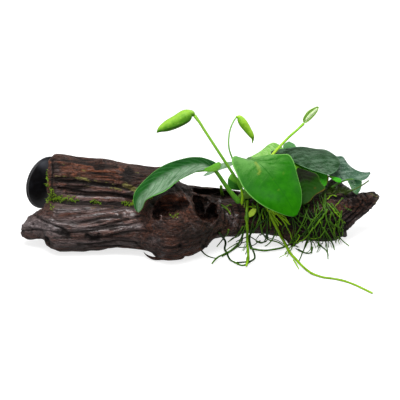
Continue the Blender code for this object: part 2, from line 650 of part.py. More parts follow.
def make_leaf(name, leaf, rhizome, tree):
    """A blade joined to its stalk, which runs on under the blade as its midrib."""
    finish = LEAF_FINISHES.get(name, "leaf_dark")
    small = name in SMALL_LEAVES
    steps, columns = (6, 3) if small else (7, 5)
    blade, rib = add_blade(name, leaf["midrib"], leaf["far"], leaf["near"], finish, steps, columns)
    radius = leaf["radius"] / 1000
    stalk = through([place(*knot) for knot in leaf["stalk"]] + [rib[0]], 5)
    stalk = np.column_stack((stalk, np.full(len(stalk), radius)))
    for point in stalk:
        point[:3] = nearest_outside(tree, point[:3], point[3] + LIE_GAP)
    stalk = np.array([point for point in stalk if clear_of(point, rhizome)])
    under = rib[1:-2:2]
    under = np.column_stack((under, radius * np.linspace(*MIDRIB_TAPER, len(under))))
    curve = add_stem("stalk curve", np.vstack((stalk, under)), finish, 0 if small else 1)
    graph = bpy.context.evaluated_depsgraph_get()
    mesh = bpy.data.meshes.new_from_object(curve.evaluated_get(graph))
    bpy.data.objects.remove(curve, do_unlink=True)
    stem = add_object("stalk", mesh, finish)
    weld = stem.modifiers.new("caps", "WELD")
    weld.merge_threshold = 0.00001
    settled(stem)
    return cut(blade, stem, "UNION")


def make_cup():
    """The suction cup: a thin disc with a flat rim, hollow on its open side, domed behind, with a stud."""
    top = CUP_DOME + CUP_STUD_LENGTH
    chamfer = 0.001
    fillet = 0.0013
    profile = (
        (CUP_DISH, 0.0), (CUP_DISH * 0.7, CUP_RADIUS * 0.5), (0.0, CUP_RADIUS - CUP_LIP), (0.0, CUP_RADIUS),
        (CUP_RIM, CUP_RADIUS), (CUP_RIM * 2, CUP_RADIUS * 0.8), (CUP_DOME * 0.72, CUP_RADIUS * 0.48),
        (CUP_DOME, CUP_STUD_RADIUS + fillet), (CUP_DOME + fillet, CUP_STUD_RADIUS),
        (top - chamfer, CUP_STUD_RADIUS), (top, CUP_STUD_RADIUS - chamfer), (top, 0.0),
    )
    bm = bmesh.new()
    verts = [bm.verts.new((along, 0, out)) for along, out in profile]
    edges = [bm.edges.new(pair) for pair in zip(verts, verts[1:])]
    bmesh.ops.spin(bm, geom=verts + edges, cent=(0, 0, 0), axis=(1, 0, 0), angle=2 * math.pi,
                   steps=CUP_STEPS, use_merge=True, use_duplicate=False)
    bmesh.ops.remove_doubles(bm, verts=bm.verts, dist=0.00001)
    bmesh.ops.recalc_face_normals(bm, faces=bm.faces)
    mesh = bpy.data.meshes.new("suction_cup")
    bm.to_mesh(mesh)
    bm.free()
    mesh.shade_smooth()
    mesh.set_sharp_from_angle(angle=math.radians(35))
    cup = add_object("suction_cup", mesh, "rubber")
    cup.matrix_world = cup_matrix()


def make_pad(name, wood, tree, covered, pad, finish):
    """A pad that follows the wood's faces, from the middle one out to its reach or to those covered already.

    covered gathers the index of each vertex under a pad, with the point above it that clears the pad.
    """
    column, row, reach, height = pad
    most_backward = 0.2
    middle = Vector(lie(tree, column, row, WOOD, 0.0))
    bm = bmesh.new()
    bm.from_mesh(wood.data)
    first = min(bm.faces, key=lambda face: (face.calc_center_median() - middle).length)
    chosen = {first}
    edge = [first]
    while edge:
        near = {other for side in edge.pop().edges for other in side.link_faces}
        near = {f for f in near - chosen if (f.calc_center_median() - middle).length < reach / 1000}
        near = {f for f in near if covered.keys().isdisjoint(v.index for v in f.verts)}
        near = {f for f in near if f.normal.y < most_backward}
        near = {f for f in near if min(v.co.z for v in f.verts) > height / 1000}
        chosen |= near
        edge += near
    over = height / 1000 + 3 * GAP
    covered.update({v.index: v.co + v.normal * over for face in chosen for v in face.verts})
    bmesh.ops.delete(bm, geom=[face for face in bm.faces if face not in chosen], context="FACES")
    bm.normal_update()
    offsets = [(vert, vert.normal.copy()) for vert in bm.verts]
    for vert, normal in offsets:
        vert.co += normal * PAD_LIFT
    mesh = bpy.data.meshes.new(name)
    bm.to_mesh(mesh)
    bm.free()
    made = add_object(name, mesh, finish)
    solid = made.modifiers.new("thickness", "SOLIDIFY")
    solid.thickness = height / 1000
    solid.offset = 1
    return settled(made)


def tree_of(meshes):
    """A search tree of the faces of these meshes together."""
    bm = bmesh.new()
    for mesh in meshes:
        bm.from_mesh(mesh)
    tree = BVHTree.FromBMesh(bm)
    bm.free()
    return tree


def main():
    clear_scene()
    tree = make_wood()
    make_cup()

    rhizome = close_path(knots_to_points(RHIZOME))
    for point in rhizome:
        point[:3] = nearest_outside(tree, point[:3], point[3] + LIE_GAP)
    add_stem("rhizome", thinned(rhizome, STEM_WITHIN), "stalk", 2)
    stems = []

    for name, leaf in LEAVES.items():
        make_leaf(name, leaf, rhizome, tree)
    for name, knots in STALKS.items():
        stalk = close_path(knots_to_points(knots))
        stalk = np.array([point for point in stalk if clear_of(point, rhizome)])
        add_stem(name, thinned(stalk, STEM_WITHIN), "stalk")
        stems.append(stalk)
    for name, knots in FLOWERS.items():
        finish = "spadix" if name == "spadix" else "flower"
        add_stem(name, through(knots_to_points(knots), FLOWER_RINGS), finish)
    add_blade("spathe_right", finish="flower", steps=7, columns=5, **OPEN_SPATHE)
    add_blade("leaflet", finish="leaf_light", steps=5, columns=3, **LEAFLET)

    log = bpy.data.objects["driftwood_log"]
    limb = bpy.data.objects["driftwood_right_limb"]
    raised = {}
    for name, pad in MATS.items():
        make_pad(name, limb, tree, raised, pad, "root")
    matted_limb = limb.data.copy()
    for index, point in raised.items():
        matted_limb.vertices[index].co = point
    covered = {}
    for name, pad in MOSS.items():
        make_pad(name, log, tree, covered, pad, "moss")
    stub = bpy.data.objects["driftwood_lower_limb"]
    matted = tree_of([log.data, stub.data, matted_limb])

    strands = [(name, knots, SHOOT_RADII[name]) for name, knots in SHOOTS.items()]
    strands += [(f"root_{i + 1}", knots, ROOT_RADII.get(i, THIN_ROOT)) for i, knots in enumerate(ROOTS)]
    for name, knots, radii in strands:
        start, end = (radius / 1000 for radius in radii)
        path = close_path([lie(matted, *knot, start + LIE_GAP) for knot in knots])
        strand = np.column_stack((path, np.linspace(start, end, len(path))))
        strand = keep_clear(strand, matted, stems)
        strand = np.array([point for point in strand if clear_of(point, rhizome)])
        finish = "twig" if name == "twig" else "root"
        add_stem(name, thinned(strand, STEM_WITHIN), finish, 1 if start >= ROUND_ROOT else 0)
        stems.append(strand)


main()
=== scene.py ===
import math

import bpy
import numpy as np
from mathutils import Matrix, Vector
from mathutils.bvhtree import BVHTree
from mathutils.kdtree import KDTree


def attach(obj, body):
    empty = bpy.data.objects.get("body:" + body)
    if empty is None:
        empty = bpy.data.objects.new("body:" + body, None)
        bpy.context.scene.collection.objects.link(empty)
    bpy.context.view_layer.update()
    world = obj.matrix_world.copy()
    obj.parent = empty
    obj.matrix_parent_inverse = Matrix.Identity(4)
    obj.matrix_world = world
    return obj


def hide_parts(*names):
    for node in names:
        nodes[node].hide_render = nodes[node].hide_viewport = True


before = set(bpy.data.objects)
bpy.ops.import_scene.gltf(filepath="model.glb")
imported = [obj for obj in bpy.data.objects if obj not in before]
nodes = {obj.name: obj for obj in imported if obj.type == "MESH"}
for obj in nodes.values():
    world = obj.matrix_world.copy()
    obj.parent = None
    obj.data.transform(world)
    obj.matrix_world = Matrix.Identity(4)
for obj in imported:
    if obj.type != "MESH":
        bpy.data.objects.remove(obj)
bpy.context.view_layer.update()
print("frame:", len(nodes), "nodes")

# the photograph's view: places below are its columns and rows, and a depth in millimetres behind the target;
# a line of sight is followed from this reach before the target to as far behind it
view = {
    "pixel": 0.0008, "distance": 2.0, "down": math.radians(22), "middle": 200,
    "target": (0.0, 0.009, 0.0425), "lens": 225, "sensor": 36, "reach": 300,
}
viewCos = math.cos(view["down"])
viewSin = math.sin(view["down"])
towardsCamera = np.array((0.0, -viewCos, viewSin))


def place(column, row, depth):
    # the point seen at this column and row, at this depth
    rise = (view["middle"] - row) * view["pixel"]
    away = depth / 1000
    far = view["distance"]
    up = (rise * (1 + away * viewCos / far) - away * viewSin) / (viewCos + rise * viewSin / far)
    across = (column - view["middle"]) * view["pixel"] * (1 - (up * viewSin - away * viewCos) / far)
    return np.array(view["target"]) + (across, away, up)


def placed(knots):
    return [place(*knot) for knot in knots]


def seenAt(points):
    # the columns and rows at which points show
    off = points - view["target"]
    reach = view["distance"] - off @ towardsCamera
    scale = view["distance"] / view["pixel"] / reach
    up = off[:, 1] * viewSin + off[:, 2] * viewCos
    return np.column_stack((view["middle"] + off[:, 0] * scale, view["middle"] - up * scale))


def through(knots, count, cuts=12):
    # evenly spaced points on a smooth curve through the knots; further columns follow along
    knots = np.array(knots, float)
    padded = np.vstack((2 * knots[0] - knots[1], knots, 2 * knots[-1] - knots[-2]))
    part = np.linspace(0, 1, cuts, endpoint=False)[:, None]
    fine = []
    for before, start, end, after in zip(padded, padded[1:], padded[2:], padded[3:]):
        bend = 2 * before - 5 * start + 4 * end - after
        curl = 3 * start - before - 3 * end + after
        fine.append(start + 0.5 * ((end - before) * part + bend * part**2 + curl * part**3))
    fine = np.vstack(fine + [knots[-1:]])
    steps = np.linalg.norm(np.diff(fine[:, :3], axis=0), axis=1)
    along = np.concatenate(((0,), np.cumsum(steps)))
    wanted = np.linspace(0, along[-1], count)
    return np.column_stack([np.interp(wanted, along, values) for values in fine.T])


def unit(vectors):
    return vectors / np.maximum(np.linalg.norm(vectors, axis=-1, keepdims=True), 1e-12)


def soft(value, low, high):
    # 0 below low, 1 above high, smooth between
    share = np.clip((value - low) / (high - low), 0, 1)
    return share * share * (3 - 2 * share)


def bell(off):
    return np.exp(-(off**2))


def circle(sides):
    return np.linspace(0, 2 * math.pi, sides, endpoint=False)


def around(turn, side, other):
    # the directions at these turns, which start at one side and reach the other a quarter on
    return np.cos(turn)[:, None] * side + np.sin(turn)[:, None] * other


noiseCells = 48
noiseStep = 7.31  # how far one seed is from the next
lattice = np.random.default_rng(7).uniform(-1, 1, (noiseCells,) * 3)


def noiseAt(points, size, shift):
    # smooth noise from -1 to 1, with lumps of this size in metres, one number or one for each axis
    spot = points / np.asarray(size) + shift * noiseStep
    cell = np.floor(spot).astype(int)
    part = spot - cell
    part = part * part * (3 - 2 * part)
    total = np.zeros(len(points))
    for corner in np.ndindex(2, 2, 2):
        weight = np.where(corner, part, 1 - part).prod(axis=1)
        total += weight * lattice[tuple(((cell + corner) % noiseCells).T)]
    return total


def drift(points, size, shift, reach):
    # how far a smooth wander moves each point
    return np.column_stack([noiseAt(points, size, shift + k) for k in range(3)]) * reach


def added(name, data):
    # a new object in the scene
    thing = bpy.data.objects.new(name, data)
    bpy.context.scene.collection.objects.link(thing)
    return thing


def operator(kind):
    # an operator on two sockets or numbers, and its reflected form
    return (lambda one, other: one.graph.maths(kind, one, other),
            lambda one, other: one.graph.maths(kind, other, one))


class Socket:
    # a node's output, so that shader maths reads as plain arithmetic
    def __init__(self, graph, output):
        self.graph = graph
        self.output = output

    __add__, __radd__ = operator("ADD")
    __sub__, __rsub__ = operator("SUBTRACT")
    __mul__, __rmul__ = operator("MULTIPLY")
    __pow__, __rpow__ = operator("POWER")

    def __abs__(self):
        return self.graph.maths("ABSOLUTE", self)


class Graph:
    # one material's nodes
    def __init__(self, name):
        self.material = bpy.data.materials.new(name)
        self.material.use_nodes = True
        self.nodes = self.material.node_tree.nodes
        self.links = self.material.node_tree.links
        self.shader = self.nodes["Principled BSDF"]

    def put(self, socket, value):
        if isinstance(value, Socket):
            self.links.new(value.output, socket)
        elif isinstance(value, tuple) and len(value) < len(socket.default_value):
            socket.default_value = (*value, 1.0)
        else:
            socket.default_value = value

    def node(self, kind, settings, values, output=0):
        made = self.nodes.new(kind)
        for name, value in settings.items():
            setattr(made, name, value)
        for name, value in values.items():
            self.put(made.inputs[name], value)
        return Socket(self, made.outputs[output])

    def maths(self, kind, *values):
        return self.node("ShaderNodeMath", {"operation": kind}, dict(enumerate(values)))

    def mix(self, share, first, second):
        settings = {"data_type": "RGBA", "clamp_factor": True}
        return self.node("ShaderNodeMix", settings, {0: share, 6: first, 7: second}, 2)

    def coated(self, colour, *coats):
        # a colour with others laid over it in turn, each where its share says
        for share, coat in coats:
            colour = self.mix(share, colour, coat)
        return colour

    def value(self, name):
        # a number that the mesh holds at each point
        return self.node("ShaderNodeAttribute", {"attribute_name": name}, {}, "Fac")

    def spot(self, stretch=(1, 1, 1)):
        # the place on the object, in millimetres, stretched along each axis
        here = self.node("ShaderNodeTexCoord", {}, {}, "Object")
        scaled = tuple(1000 * share for share in stretch)
        return self.node("ShaderNodeVectorMath", {"operation": "MULTIPLY"}, {0: here, 1: scaled})

    def noise(self, size, stretch=(1, 1, 1), detail=3.0, rough=0.55, twist=0.0):
        values = {"Vector": self.spot(stretch), "Scale": 1 / size, "Detail": detail, "Roughness": rough,
                  "Distortion": twist}
        return self.node("ShaderNodeTexNoise", {}, values)

    def cells(self, size, stretch):
        # how far each place is from the border between two cells
        values = {"Vector": self.spot(stretch), "Scale": 1 / size}
        return self.node("ShaderNodeTexVoronoi", {"feature": "DISTANCE_TO_EDGE"}, values, "Distance")

    def step(self, value, low, high):
        settings = {"interpolation_type": "SMOOTHSTEP"}
        return self.node("ShaderNodeMapRange", settings, {"Value": value, "From Min": low, "From Max": high})

    def finish(self, height=None, depth=0.0, **values):
        # feeds the shader; depth is that of the bumps, in metres
        names = {"colour": "Base Color", "rough": "Roughness", "coat": "Coat Weight",
                 "coatRough": "Coat Roughness", "gloss": "Specular IOR Level",
                 "shine": "Emission Strength", "light": "Emission Color"}
        for name, value in values.items():
            self.put(self.shader.inputs[names[name]], value)
        if height is not None:
            bump = self.node("ShaderNodeBump", {}, {"Height": height, "Distance": depth, "Strength": 1.0})
            self.links.new(bump.output, self.shader.inputs["Normal"])
        return self.material


class Shape:
    # gathers points, faces and numbers held at the points, and becomes one object
    def __init__(self, *names):
        self.points = []
        self.faces = []
        self.finishes = []
        self.values = {name: [] for name in names}
        self.count = 0

    def add(self, made, finish=0, **values):
        points, faces = made
        for name, parts in self.values.items():
            parts.append(np.broadcast_to(np.asarray(values.get(name, 0.0), float), len(points)))
        self.points.append(points)
        self.faces += [[i + self.count for i in face] for face in faces]
        self.finishes += [finish] * len(faces)
        self.count += len(points)

    def build(self, name, materials, replaced):
        mesh = bpy.data.meshes.new(name)
        mesh.from_pydata(np.vstack(self.points).tolist(), [], self.faces)
        mesh.polygons.foreach_set("material_index", self.finishes)
        mesh.polygons.foreach_set("use_smooth", [True] * len(self.faces))
        for label, parts in self.values.items():
            mesh.attributes.new(label, "FLOAT", "POINT").data.foreach_set("value", np.concatenate(parts))
        for material in materials:
            mesh.materials.append(material)
        piece = added(name, mesh)
        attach(piece, "root")
        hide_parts(*replaced)


def loft(rings):
    # rings of points joined into a closed skin, with a point in the middle of each end
    count, size = rings.shape[:2]
    index = np.arange(count * size).reshape(count, size)
    turned = np.roll(index, -1, axis=1)
    quads = np.stack((index[:-1], turned[:-1], turned[1:], index[1:]), axis=-1).reshape(-1, 4)
    start = count * size
    first = np.stack((turned[0], index[0], np.full(size, start)), axis=-1)
    last = np.stack((index[-1], turned[-1], np.full(size, start + 1)), axis=-1)
    points = np.vstack((rings.reshape(-1, 3), rings[0].mean(axis=0), rings[-1].mean(axis=0)))
    return points, quads.tolist() + first.tolist() + last.tolist()


# a tube's round end: how far out each ring is and how wide, as shares of the radius
roundEnd = ((0.98, 0.2), (0.8, 0.6), (0.45, 0.89))
startSide = (0.31, 0.12, 0.94)  # a direction that no tube starts along


def tubeRings(path, radii, sides, section=None):
    # rings round a path with round ends; section gives a share of the radius for each ring and turn
    path = np.asarray(path, float)[:, :3]
    radii = np.broadcast_to(radii, len(path))
    back = unit(path[0] - path[1])
    ahead = unit(path[-1] - path[-2])
    opened = [path[0] + back * radii[0] * out for out, _ in roundEnd]
    closed = [path[-1] + ahead * radii[-1] * out for out, _ in reversed(roundEnd)]
    whole = np.vstack((opened, path, closed))
    ends = [share for _, share in roundEnd]
    sizes = np.concatenate((radii[0] * np.array(ends), radii, radii[-1] * np.array(ends[::-1])))
    tangents = unit(np.gradient(whole, axis=0))
    side = unit(np.cross(tangents[0], startSide))
    turn = circle(sides)
    rings = []
    for i, (point, tangent, size) in enumerate(zip(whole, tangents, sizes)):
        side = unit(side - tangent * (side @ tangent))
        out = around(turn, side, np.cross(tangent, side))
        share = 1.0 if section is None else section(i / (len(whole) - 1), turn)[:, None]
        rings.append(point + out * size * share)
    return np.array(rings)


def perRing(rings, numbers=None, ends=(0, 1)):
    # a number for the points of each ring, from 0 to 1 where none is given, and one for the middle of each end
    if numbers is None:
        numbers = np.linspace(0, 1, len(rings))
    return np.concatenate((np.repeat(numbers, rings.shape[1]), ends))


def knotPath(knots, count):
    # knots of column, row, depth and radius in millimetres, as a smooth path and its radii in metres
    points = through([(*place(*knot[:3]), knot[3] / 1000) for knot in knots], count)
    return points[:, :3], points[:, 3]


# stage: pale floor, soft surroundings, one large softbox overhead and two weaker ones
stage = {
    "floor": 8.0, "sunk": 0.0002, "pale": (0.5, 0.5, 0.5), "white": (1.0, 1.0, 1.0), "glow": 0.75,
    "surround": 0.3, "rough": 0.9, "gloss": 0.1,
    # place, size and power of each softbox
    "lights": (
        ((-0.15, -0.45, 1.35), (1.0, 0.8), 20.0),
        ((-1.2, -0.9, 0.7), (0.7, 0.9), 5.0),
        ((0.9, 0.9, 1.0), (0.8, 0.8), 7.0),
    ),
}


def makeStage():
    camera = added("camera", bpy.data.cameras.new("camera"))
    camera.data.lens = view["lens"]
    camera.data.sensor_width = view["sensor"]
    target = Vector(view["target"])
    camera.location = target + Vector(towardsCamera) * view["distance"]
    camera.rotation_euler = Vector(towardsCamera).to_track_quat("Z", "Y").to_euler()
    bpy.context.scene.camera = camera
    bpy.context.scene.view_settings.view_transform = "Standard"

    world = bpy.data.worlds.new("surroundings")
    world.use_nodes = True
    background = world.node_tree.nodes["Background"]
    background.inputs["Color"].default_value = (*stage["white"], 1.0)
    background.inputs["Strength"].default_value = stage["surround"]
    bpy.context.scene.world = world
    for number, (spot, size, power) in enumerate(stage["lights"]):
        light = bpy.data.lights.new(f"softbox_{number + 1}", "AREA")
        light.shape = "RECTANGLE"
        light.size, light.size_y = size
        light.energy = power
        lamp = added(light.name, light)
        lamp.location = spot
        lamp.rotation_euler = (Vector(spot) - target).to_track_quat("Z", "Y").to_euler()

    half = stage["floor"] / 2
    mesh = bpy.data.meshes.new("floor")
    corners = [(-half, -half, 0), (half, -half, 0), (half, half, 0), (-half, half, 0)]
    mesh.from_pydata(corners, [], [(0, 1, 2, 3)])
    floor = added("floor", mesh)
    floor.location.z = -stage["sunk"]
    mesh.materials.append(Graph("pale_floor").finish(
        colour=stage["pale"], rough=stage["rough"], gloss=stage["gloss"], light=stage["white"],
        shine=stage["glow"]))
    # the floor's glow keeps the shadow faint and doesn't light the plant from below
    floor.visible_diffuse = False
    floor.visible_glossy = False


makeStage()
print("stage: camera, floor and lights")

# driftwood: one fine skin over its three solids, carved where the photograph shows it
wood = {
    "voxel": 0.0006, "smoothing": (6, 4), "forkWidth": 0.0003, "forkShift": 0.0006, "capReach": 0.004,
    "near": 0.005, "facing": (-0.05, 0.35),
    "triangles": {"wood_log": 195000, "wood_right": 95000},
    # noise that warps the grain, and grit: size in metres, seed and strength
    "warp": (0.022, 1, 0.0022), "grit": ((0.006, 0.0013, 0.0013), 6, 0.3),
    # cracks along the grain: size in metres, seed, width, depth in millimetres, and how much painted shade they get
    "cracks": (((0.11, 0.0062, 0.0062), 4, 0.13, 0.75, 0.4), ((0.045, 0.0026, 0.0026), 5, 0.2, 0.45, 0.3)),
    # swells all over: size in metres, seed and share of their height in millimetres
    "swells": ((0.017, 7, 1), (0.007, 8, 0.6)), "swellHeight": 0.7,
    # painted shade in grooves and pits: how much darker they are for each millimetre of depth
    "shade": {"grooves": 0.5, "pits": 0.45},
    # a hollow's ragged edge and lumpy bed: strength and size in metres of a noise that changes little with
    # depth, and the most millimetres that a point is pushed back
    "ragged": (0.55, 0.0032), "lumpy": (0.3, 0.0025), "flat": (1, 0.2, 1), "deepest": 40,
    # hollows that open towards the viewer: column, row, half width and height in pixels, depths of rim and floor
    "hollows": (
        (168, 206, 13, 7.5, -28, -15), (157, 211, 5, 8, -28, -17), (164, 210, 6, 7, -28, -13),
        (181, 204, 8, 6.5, -30, -18), (169, 198, 9, 4, -27, -21), (198.6, 206.5, 4.8, 9.5, -13, 6),
        (200.5, 212.5, 4, 6.5, -13, 6), (211.5, 213.5, 5.5, 8.5, -14, 8), (213, 208, 5, 9, -14, 4),
        (206, 200, 9, 6, -8, 3), (196.5, 200, 3.5, 4.5, -13, 4), (201.5, 216, 3, 4.5, -13, 4),
        (208, 217.5, 4, 4, -14, 4), (215.5, 217, 3, 4.5, -14, 4), (204, 192, 17, 3.6, 30, 40),
        (226, 194, 17, 4.6, 20, 38), (63, 234.5, 5, 2.4, -28, -22), (67, 236, 4, 1.8, -28, -22),
        (94, 238, 5, 2, -25, -21), (98, 240, 3, 1.8, -25, -20), (33, 225.5, 1.6, 1, -6, -3),
        (100, 167.5, 3.8, 1.3, -5, 1), (40, 207.5, 2.4, 1.5, 0, 6),
    ),
    # where the wood is worn smooth: width in pixels, strength, then the stroke's course in pixels
    "calm": (
        (17, 0.85, (168, 232), (188, 226)), (9, 0.7, (64, 212), (100, 209), (130, 208)),
        (8, 0.5, (34, 224), (50, 230)), (9, 0.6, (150, 208), (150, 232)),
    ),
    # the underside's lowest row at each column, left of the splinter
    "underside": ((40, 239), (44, 240), (46, 245.5), (52, 249.8), (60, 251.4), (85, 251), (100, 250.2), (113, 247.6),
                  (127, 248), (134, 249), (143, 249.5), (148, 250.5), (152, 252), (155, 255), (157, 262)),
    # a splinter under the bulge: its points, sides and painted shade, then column, row, depth and radius in
    # millimetres
    "splinterMesh": (24, 10, 0.5),
    "splinter": ((160, 258.2, -25, 1.7), (154, 258.4, -24, 1.3), (149, 256.6, -22, 0.9), (146, 254.6, -21, 0.5),
                 (143.5, 252, -20, 0.15)),
    # planes that part the wood: a point and a normal
    "forks": (
        ((0.036, 0, 0), (1, 0, 0)),
        ((-0.1165, 0, 0.016), (-0.918, 0, -0.396)),
    ),
    # width in pixels, depth in millimetres, then the groove's course in pixels
    "grooves": (
        (1.6, 1.3, (51, 159), (75, 161.5), (95, 164.5), (118, 167)),
        (1.2, 0.9, (52.5, 167.5), (77.5, 169), (96, 172.5), (121, 173.5), (148, 176)),
        (0.8, 0.6, (54, 164), (76, 165.5), (92, 168.5)), (0.8, 0.6, (54, 170), (80, 171.3), (106, 174.5)),
        (0.8, 0.6, (56, 175), (86, 176), (112, 178.5)), (0.8, 0.6, (58, 178.3), (88, 180), (114, 182.5)),
        (0.8, 0.6, (60, 185.5), (90, 188.3), (120, 191)), (0.8, 0.5, (64, 191), (94, 193.6), (124, 195)),
        (1, 0.9, (52.5, 172.5), (90, 174), (127, 176), (142, 181)),
        (2, 1.6, (55, 181), (85, 183), (110, 186.5), (134, 189.5)),
        (1.5, 1.6, (59, 188), (85, 193), (110, 194), (133, 197.5)),
        (1.2, 1.2, (66, 194.4), (92, 195.8), (119, 196.5), (136, 200)),
        (2, 2.6, (52, 200), (77, 202), (102, 203.2), (121, 203.8), (135, 205)),
        (1.2, 1, (56, 211), (80, 209.5), (102, 206.5), (122, 205.8)),
        (1.1, 1, (57, 216), (77, 214), (100, 210.5), (118, 208)),
        (1.3, 1.1, (52, 221), (74, 223), (90, 220.5), (110, 216.5), (128, 219)),
        (1.1, 1, (87, 228), (102, 225.5), (115, 222.5), (128, 219)),
        (1.3, 1.1, (68, 233), (90, 231), (110, 226.5), (127, 225), (141, 221)),
        (1.1, 0.9, (102, 238), (122, 233), (136, 231), (150, 232)),
        (1.2, 0.8, (78, 246), (98, 244), (120, 241), (140, 243)),
        (0.8, 0.6, (58, 213.3), (80, 211.8), (100, 209), (120, 206.8)),
        (0.8, 0.6, (60, 219), (78, 218), (98, 214.5), (116, 211)),
        (0.8, 0.6, (72, 226), (92, 224.3), (110, 220.5), (126, 216.5)),
        (0.8, 0.6, (78, 230.3), (98, 228), (116, 225.2)), (0.8, 0.6, (62, 238), (84, 240.3), (106, 241)),
        (0.8, 0.6, (84, 248.3), (110, 246.5), (130, 245.5)), (0.8, 0.5, (110, 229.5), (126, 227.7), (142, 226.5)),
        (0.8, 0.5, (116, 222.5), (132, 217.8), (146, 214.5)), (0.8, 0.5, (112, 236.5), (128, 234), (144, 235)),
        (0.7, 0.5, (56, 243), (70, 245.5), (80, 244)),
        (1.3, 1.2, (35, 215), (40, 219), (47, 222.5), (56, 226), (66, 231)),
        (1.2, 1, (22, 231), (32, 230), (43, 230), (58, 233)), (1.5, 1.4, (44, 237), (48, 241), (49, 246)),
        (1.3, 1.6, (51.5, 161), (52, 170), (51.5, 179), (52, 188)),
        (1.2, 0.6, (147, 240), (165, 237.5), (190, 239), (209, 232.5)),
        (1, 0.5, (153, 246), (170, 249), (190, 246), (203, 242)),
        (1, 0.6, (156, 215), (162, 221), (170, 226), (182, 228)),
        (1, 0.6, (172, 232), (186, 228), (196, 222), (203, 224)), (0.9, 0.8, (190, 203), (192, 213), (199, 224)),
        (0.8, 0.7, (186, 206), (187, 216), (193, 227)), (0.8, 0.7, (160, 218), (164, 222), (166, 225)),
        (1, 0.7, (173, 206), (180, 209), (187, 208)),
        (1.5, 1.6, (184, 190), (194, 195.5), (205, 198.5), (216, 200.5)),
        (1.3, 1.2, (222, 203), (226, 212), (224, 224), (219, 234)), (1.2, 1.1, (231, 205), (234, 216), (231, 228)),
        (1, 1, (238, 204), (241, 216), (238, 230)), (1, 1, (371, 192), (374, 199), (369, 207), (359, 218)),
        (1.1, 1.2, (365, 193), (369, 200), (364, 208), (354, 219), (346, 226)),
        (1, 1.1, (360, 195), (363, 202), (357, 211), (346, 221)),
        (1.2, 1.2, (353, 198), (354, 206), (347, 215), (336, 223)),
        (1.5, 1.5, (324, 194), (334, 197), (345, 197), (356, 195)),
        (1.5, 1.8, (338.5, 231), (341, 235), (340, 239)), (1.2, 1.6, (341, 230), (345, 231), (348, 229)),
        (1.3, 2, (341.5, 185), (339, 189), (336, 193)), (1, 1.5, (351, 189), (348, 193), (344, 195)),
        (1, 1.3, (326, 186), (331, 189), (333, 193)), (0.9, 1.2, (349, 186), (344, 189), (341, 192)),
        (1, 1.4, (374, 193), (376, 199), (372, 207), (362, 216)), (0.8, 1, (348, 201), (349, 208), (342, 215)),
        (0.8, 1, (356, 197), (360, 205), (352, 215), (345, 220)),
        # ridges stand out, so their depth is below 0
        (1.8, -0.7, (150, 201), (149, 211), (152, 220), (158, 225)),
        (1.2, -1.6, (160, 221), (163, 214), (166, 212)),
        (1.2, -1.4, (183, 207), (190, 207.5), (194, 214), (199, 219.5), (207, 223)),
        (1.2, -1.3, (217.5, 202), (219.5, 210), (218, 219), (214, 223)),
        (1, -1.4, (183, 188.5), (188, 190), (193, 191.5), (198, 195.5), (206, 196.5), (213, 198.5), (219, 199.5)),
        (1, -1, (222, 207), (224, 217), (222, 229)), (0.9, -0.9, (226, 210), (230, 219), (235, 226)),
        (0.9, -0.9, (230, 210), (234, 218), (239, 225)), (1.1, -1, (186, 212), (189, 222), (196, 231)),
        (1.2, -1.2, (174, 184), (180, 190), (186, 198)), (1.5, -1.2, (36, 214), (44, 217), (54, 222)),
        (1.3, -1, (24, 226), (36, 227), (48, 230)), (1.2, -1, (58, 213), (78, 211.5), (100, 208)),
        (1.2, -1, (60, 218.5), (80, 217.5), (104, 213.5), (124, 211)),
        (1.3, -1.1, (72, 227), (92, 226), (112, 220.5), (128, 216)),
        (1.2, -1, (104, 235), (122, 229), (138, 227.5), (152, 226)), (1, -1.2, (352, 217), (364, 208), (371, 197)),
        (1, -1, (344, 220), (356, 209), (362, 199)), (0.9, -1.2, (356, 219), (370, 208), (377, 197)),
    ),
    # lumps that stand out all round: reach and height in millimetres, then the place in pixels
    "lumps": (
        (3.4, 2.6, 343.8, 234), (2.2, 1.6, 340.5, 238), (5, 2.4, 375.5, 197.5), (3.5, 1.6, 331.5, 183),
        (3, 1.8, 346.5, 189), (2.2, 1.4, 352.5, 192.5), (4, 1.4, 24.5, 228), (3.5, 1.5, 40.5, 214.5),
        (4.5, 2.6, 30, 219.5), (3.4, 2.4, 102, 162.3), (2.6, 2.2, 126.5, 166.5), (3, 1.6, 205.5, 246.5),
        (2.6, 1.2, 57, 155.5),
    ),
    # pits and, with a depth below 0, knobs: radius in pixels, depth in millimetres, place in pixels
    "pits": (
        (3.2, 2.4, (63, 233)), (2.2, 2, (68, 236)), (2, 2.2, (87, 236), (93, 239), (99, 238)),
        (1.3, 1.4, (99, 234)), (1.3, 1.4, (61, 207)), (1.3, 1.4, (33, 225)),
        (2.3, 2.8, (96.5, 167.3), (101.5, 167)), (2.4, -1.3, (101.5, 162.8)), (2.6, -1.6, (126, 169)),
        (2.6, 2.6, (126.5, 170.5), (130.5, 171)), (2.2, 1.6, (46, 240)), (2, 1.4, (160, 206)),
        (1.8, 1.5, (148, 217)), (1.6, 1.4, (121, 215)), (2, -1.2, (188, 192)), (2, 1.6, (218, 214)),
        (2.5, -1.2, (328, 184)), (1.5, 1.4, (333, 186)), (2, -1.4, (343, 235)), (1.6, 1.6, (340, 231)),
        (1.7, 1.5, (204, 247)), (2, 1.6, (181, 247)), (1.5, 1.6, (160, 202.5)), (1.3, -1.4, (164.5, 199.5)),
        (1.5, 1.5, (171, 203.5)), (1.4, -1.5, (177, 200)), (1.5, 1.4, (176.5, 206)), (1.6, 1.8, (152, 203.5)),
        (1.2, -1.5, (153.5, 209)), (1.5, 1.6, (152.5, 214)), (1.1, -1.3, (156.5, 220.5)), (1.2, 1.3, (160.5, 222)),
        (1.3, -1.4, (169, 213.5)), (1.3, -1.3, (168.5, 207.5)), (1.5, 1.5, (183, 202)), (1.2, -1.2, (155.5, 205)),
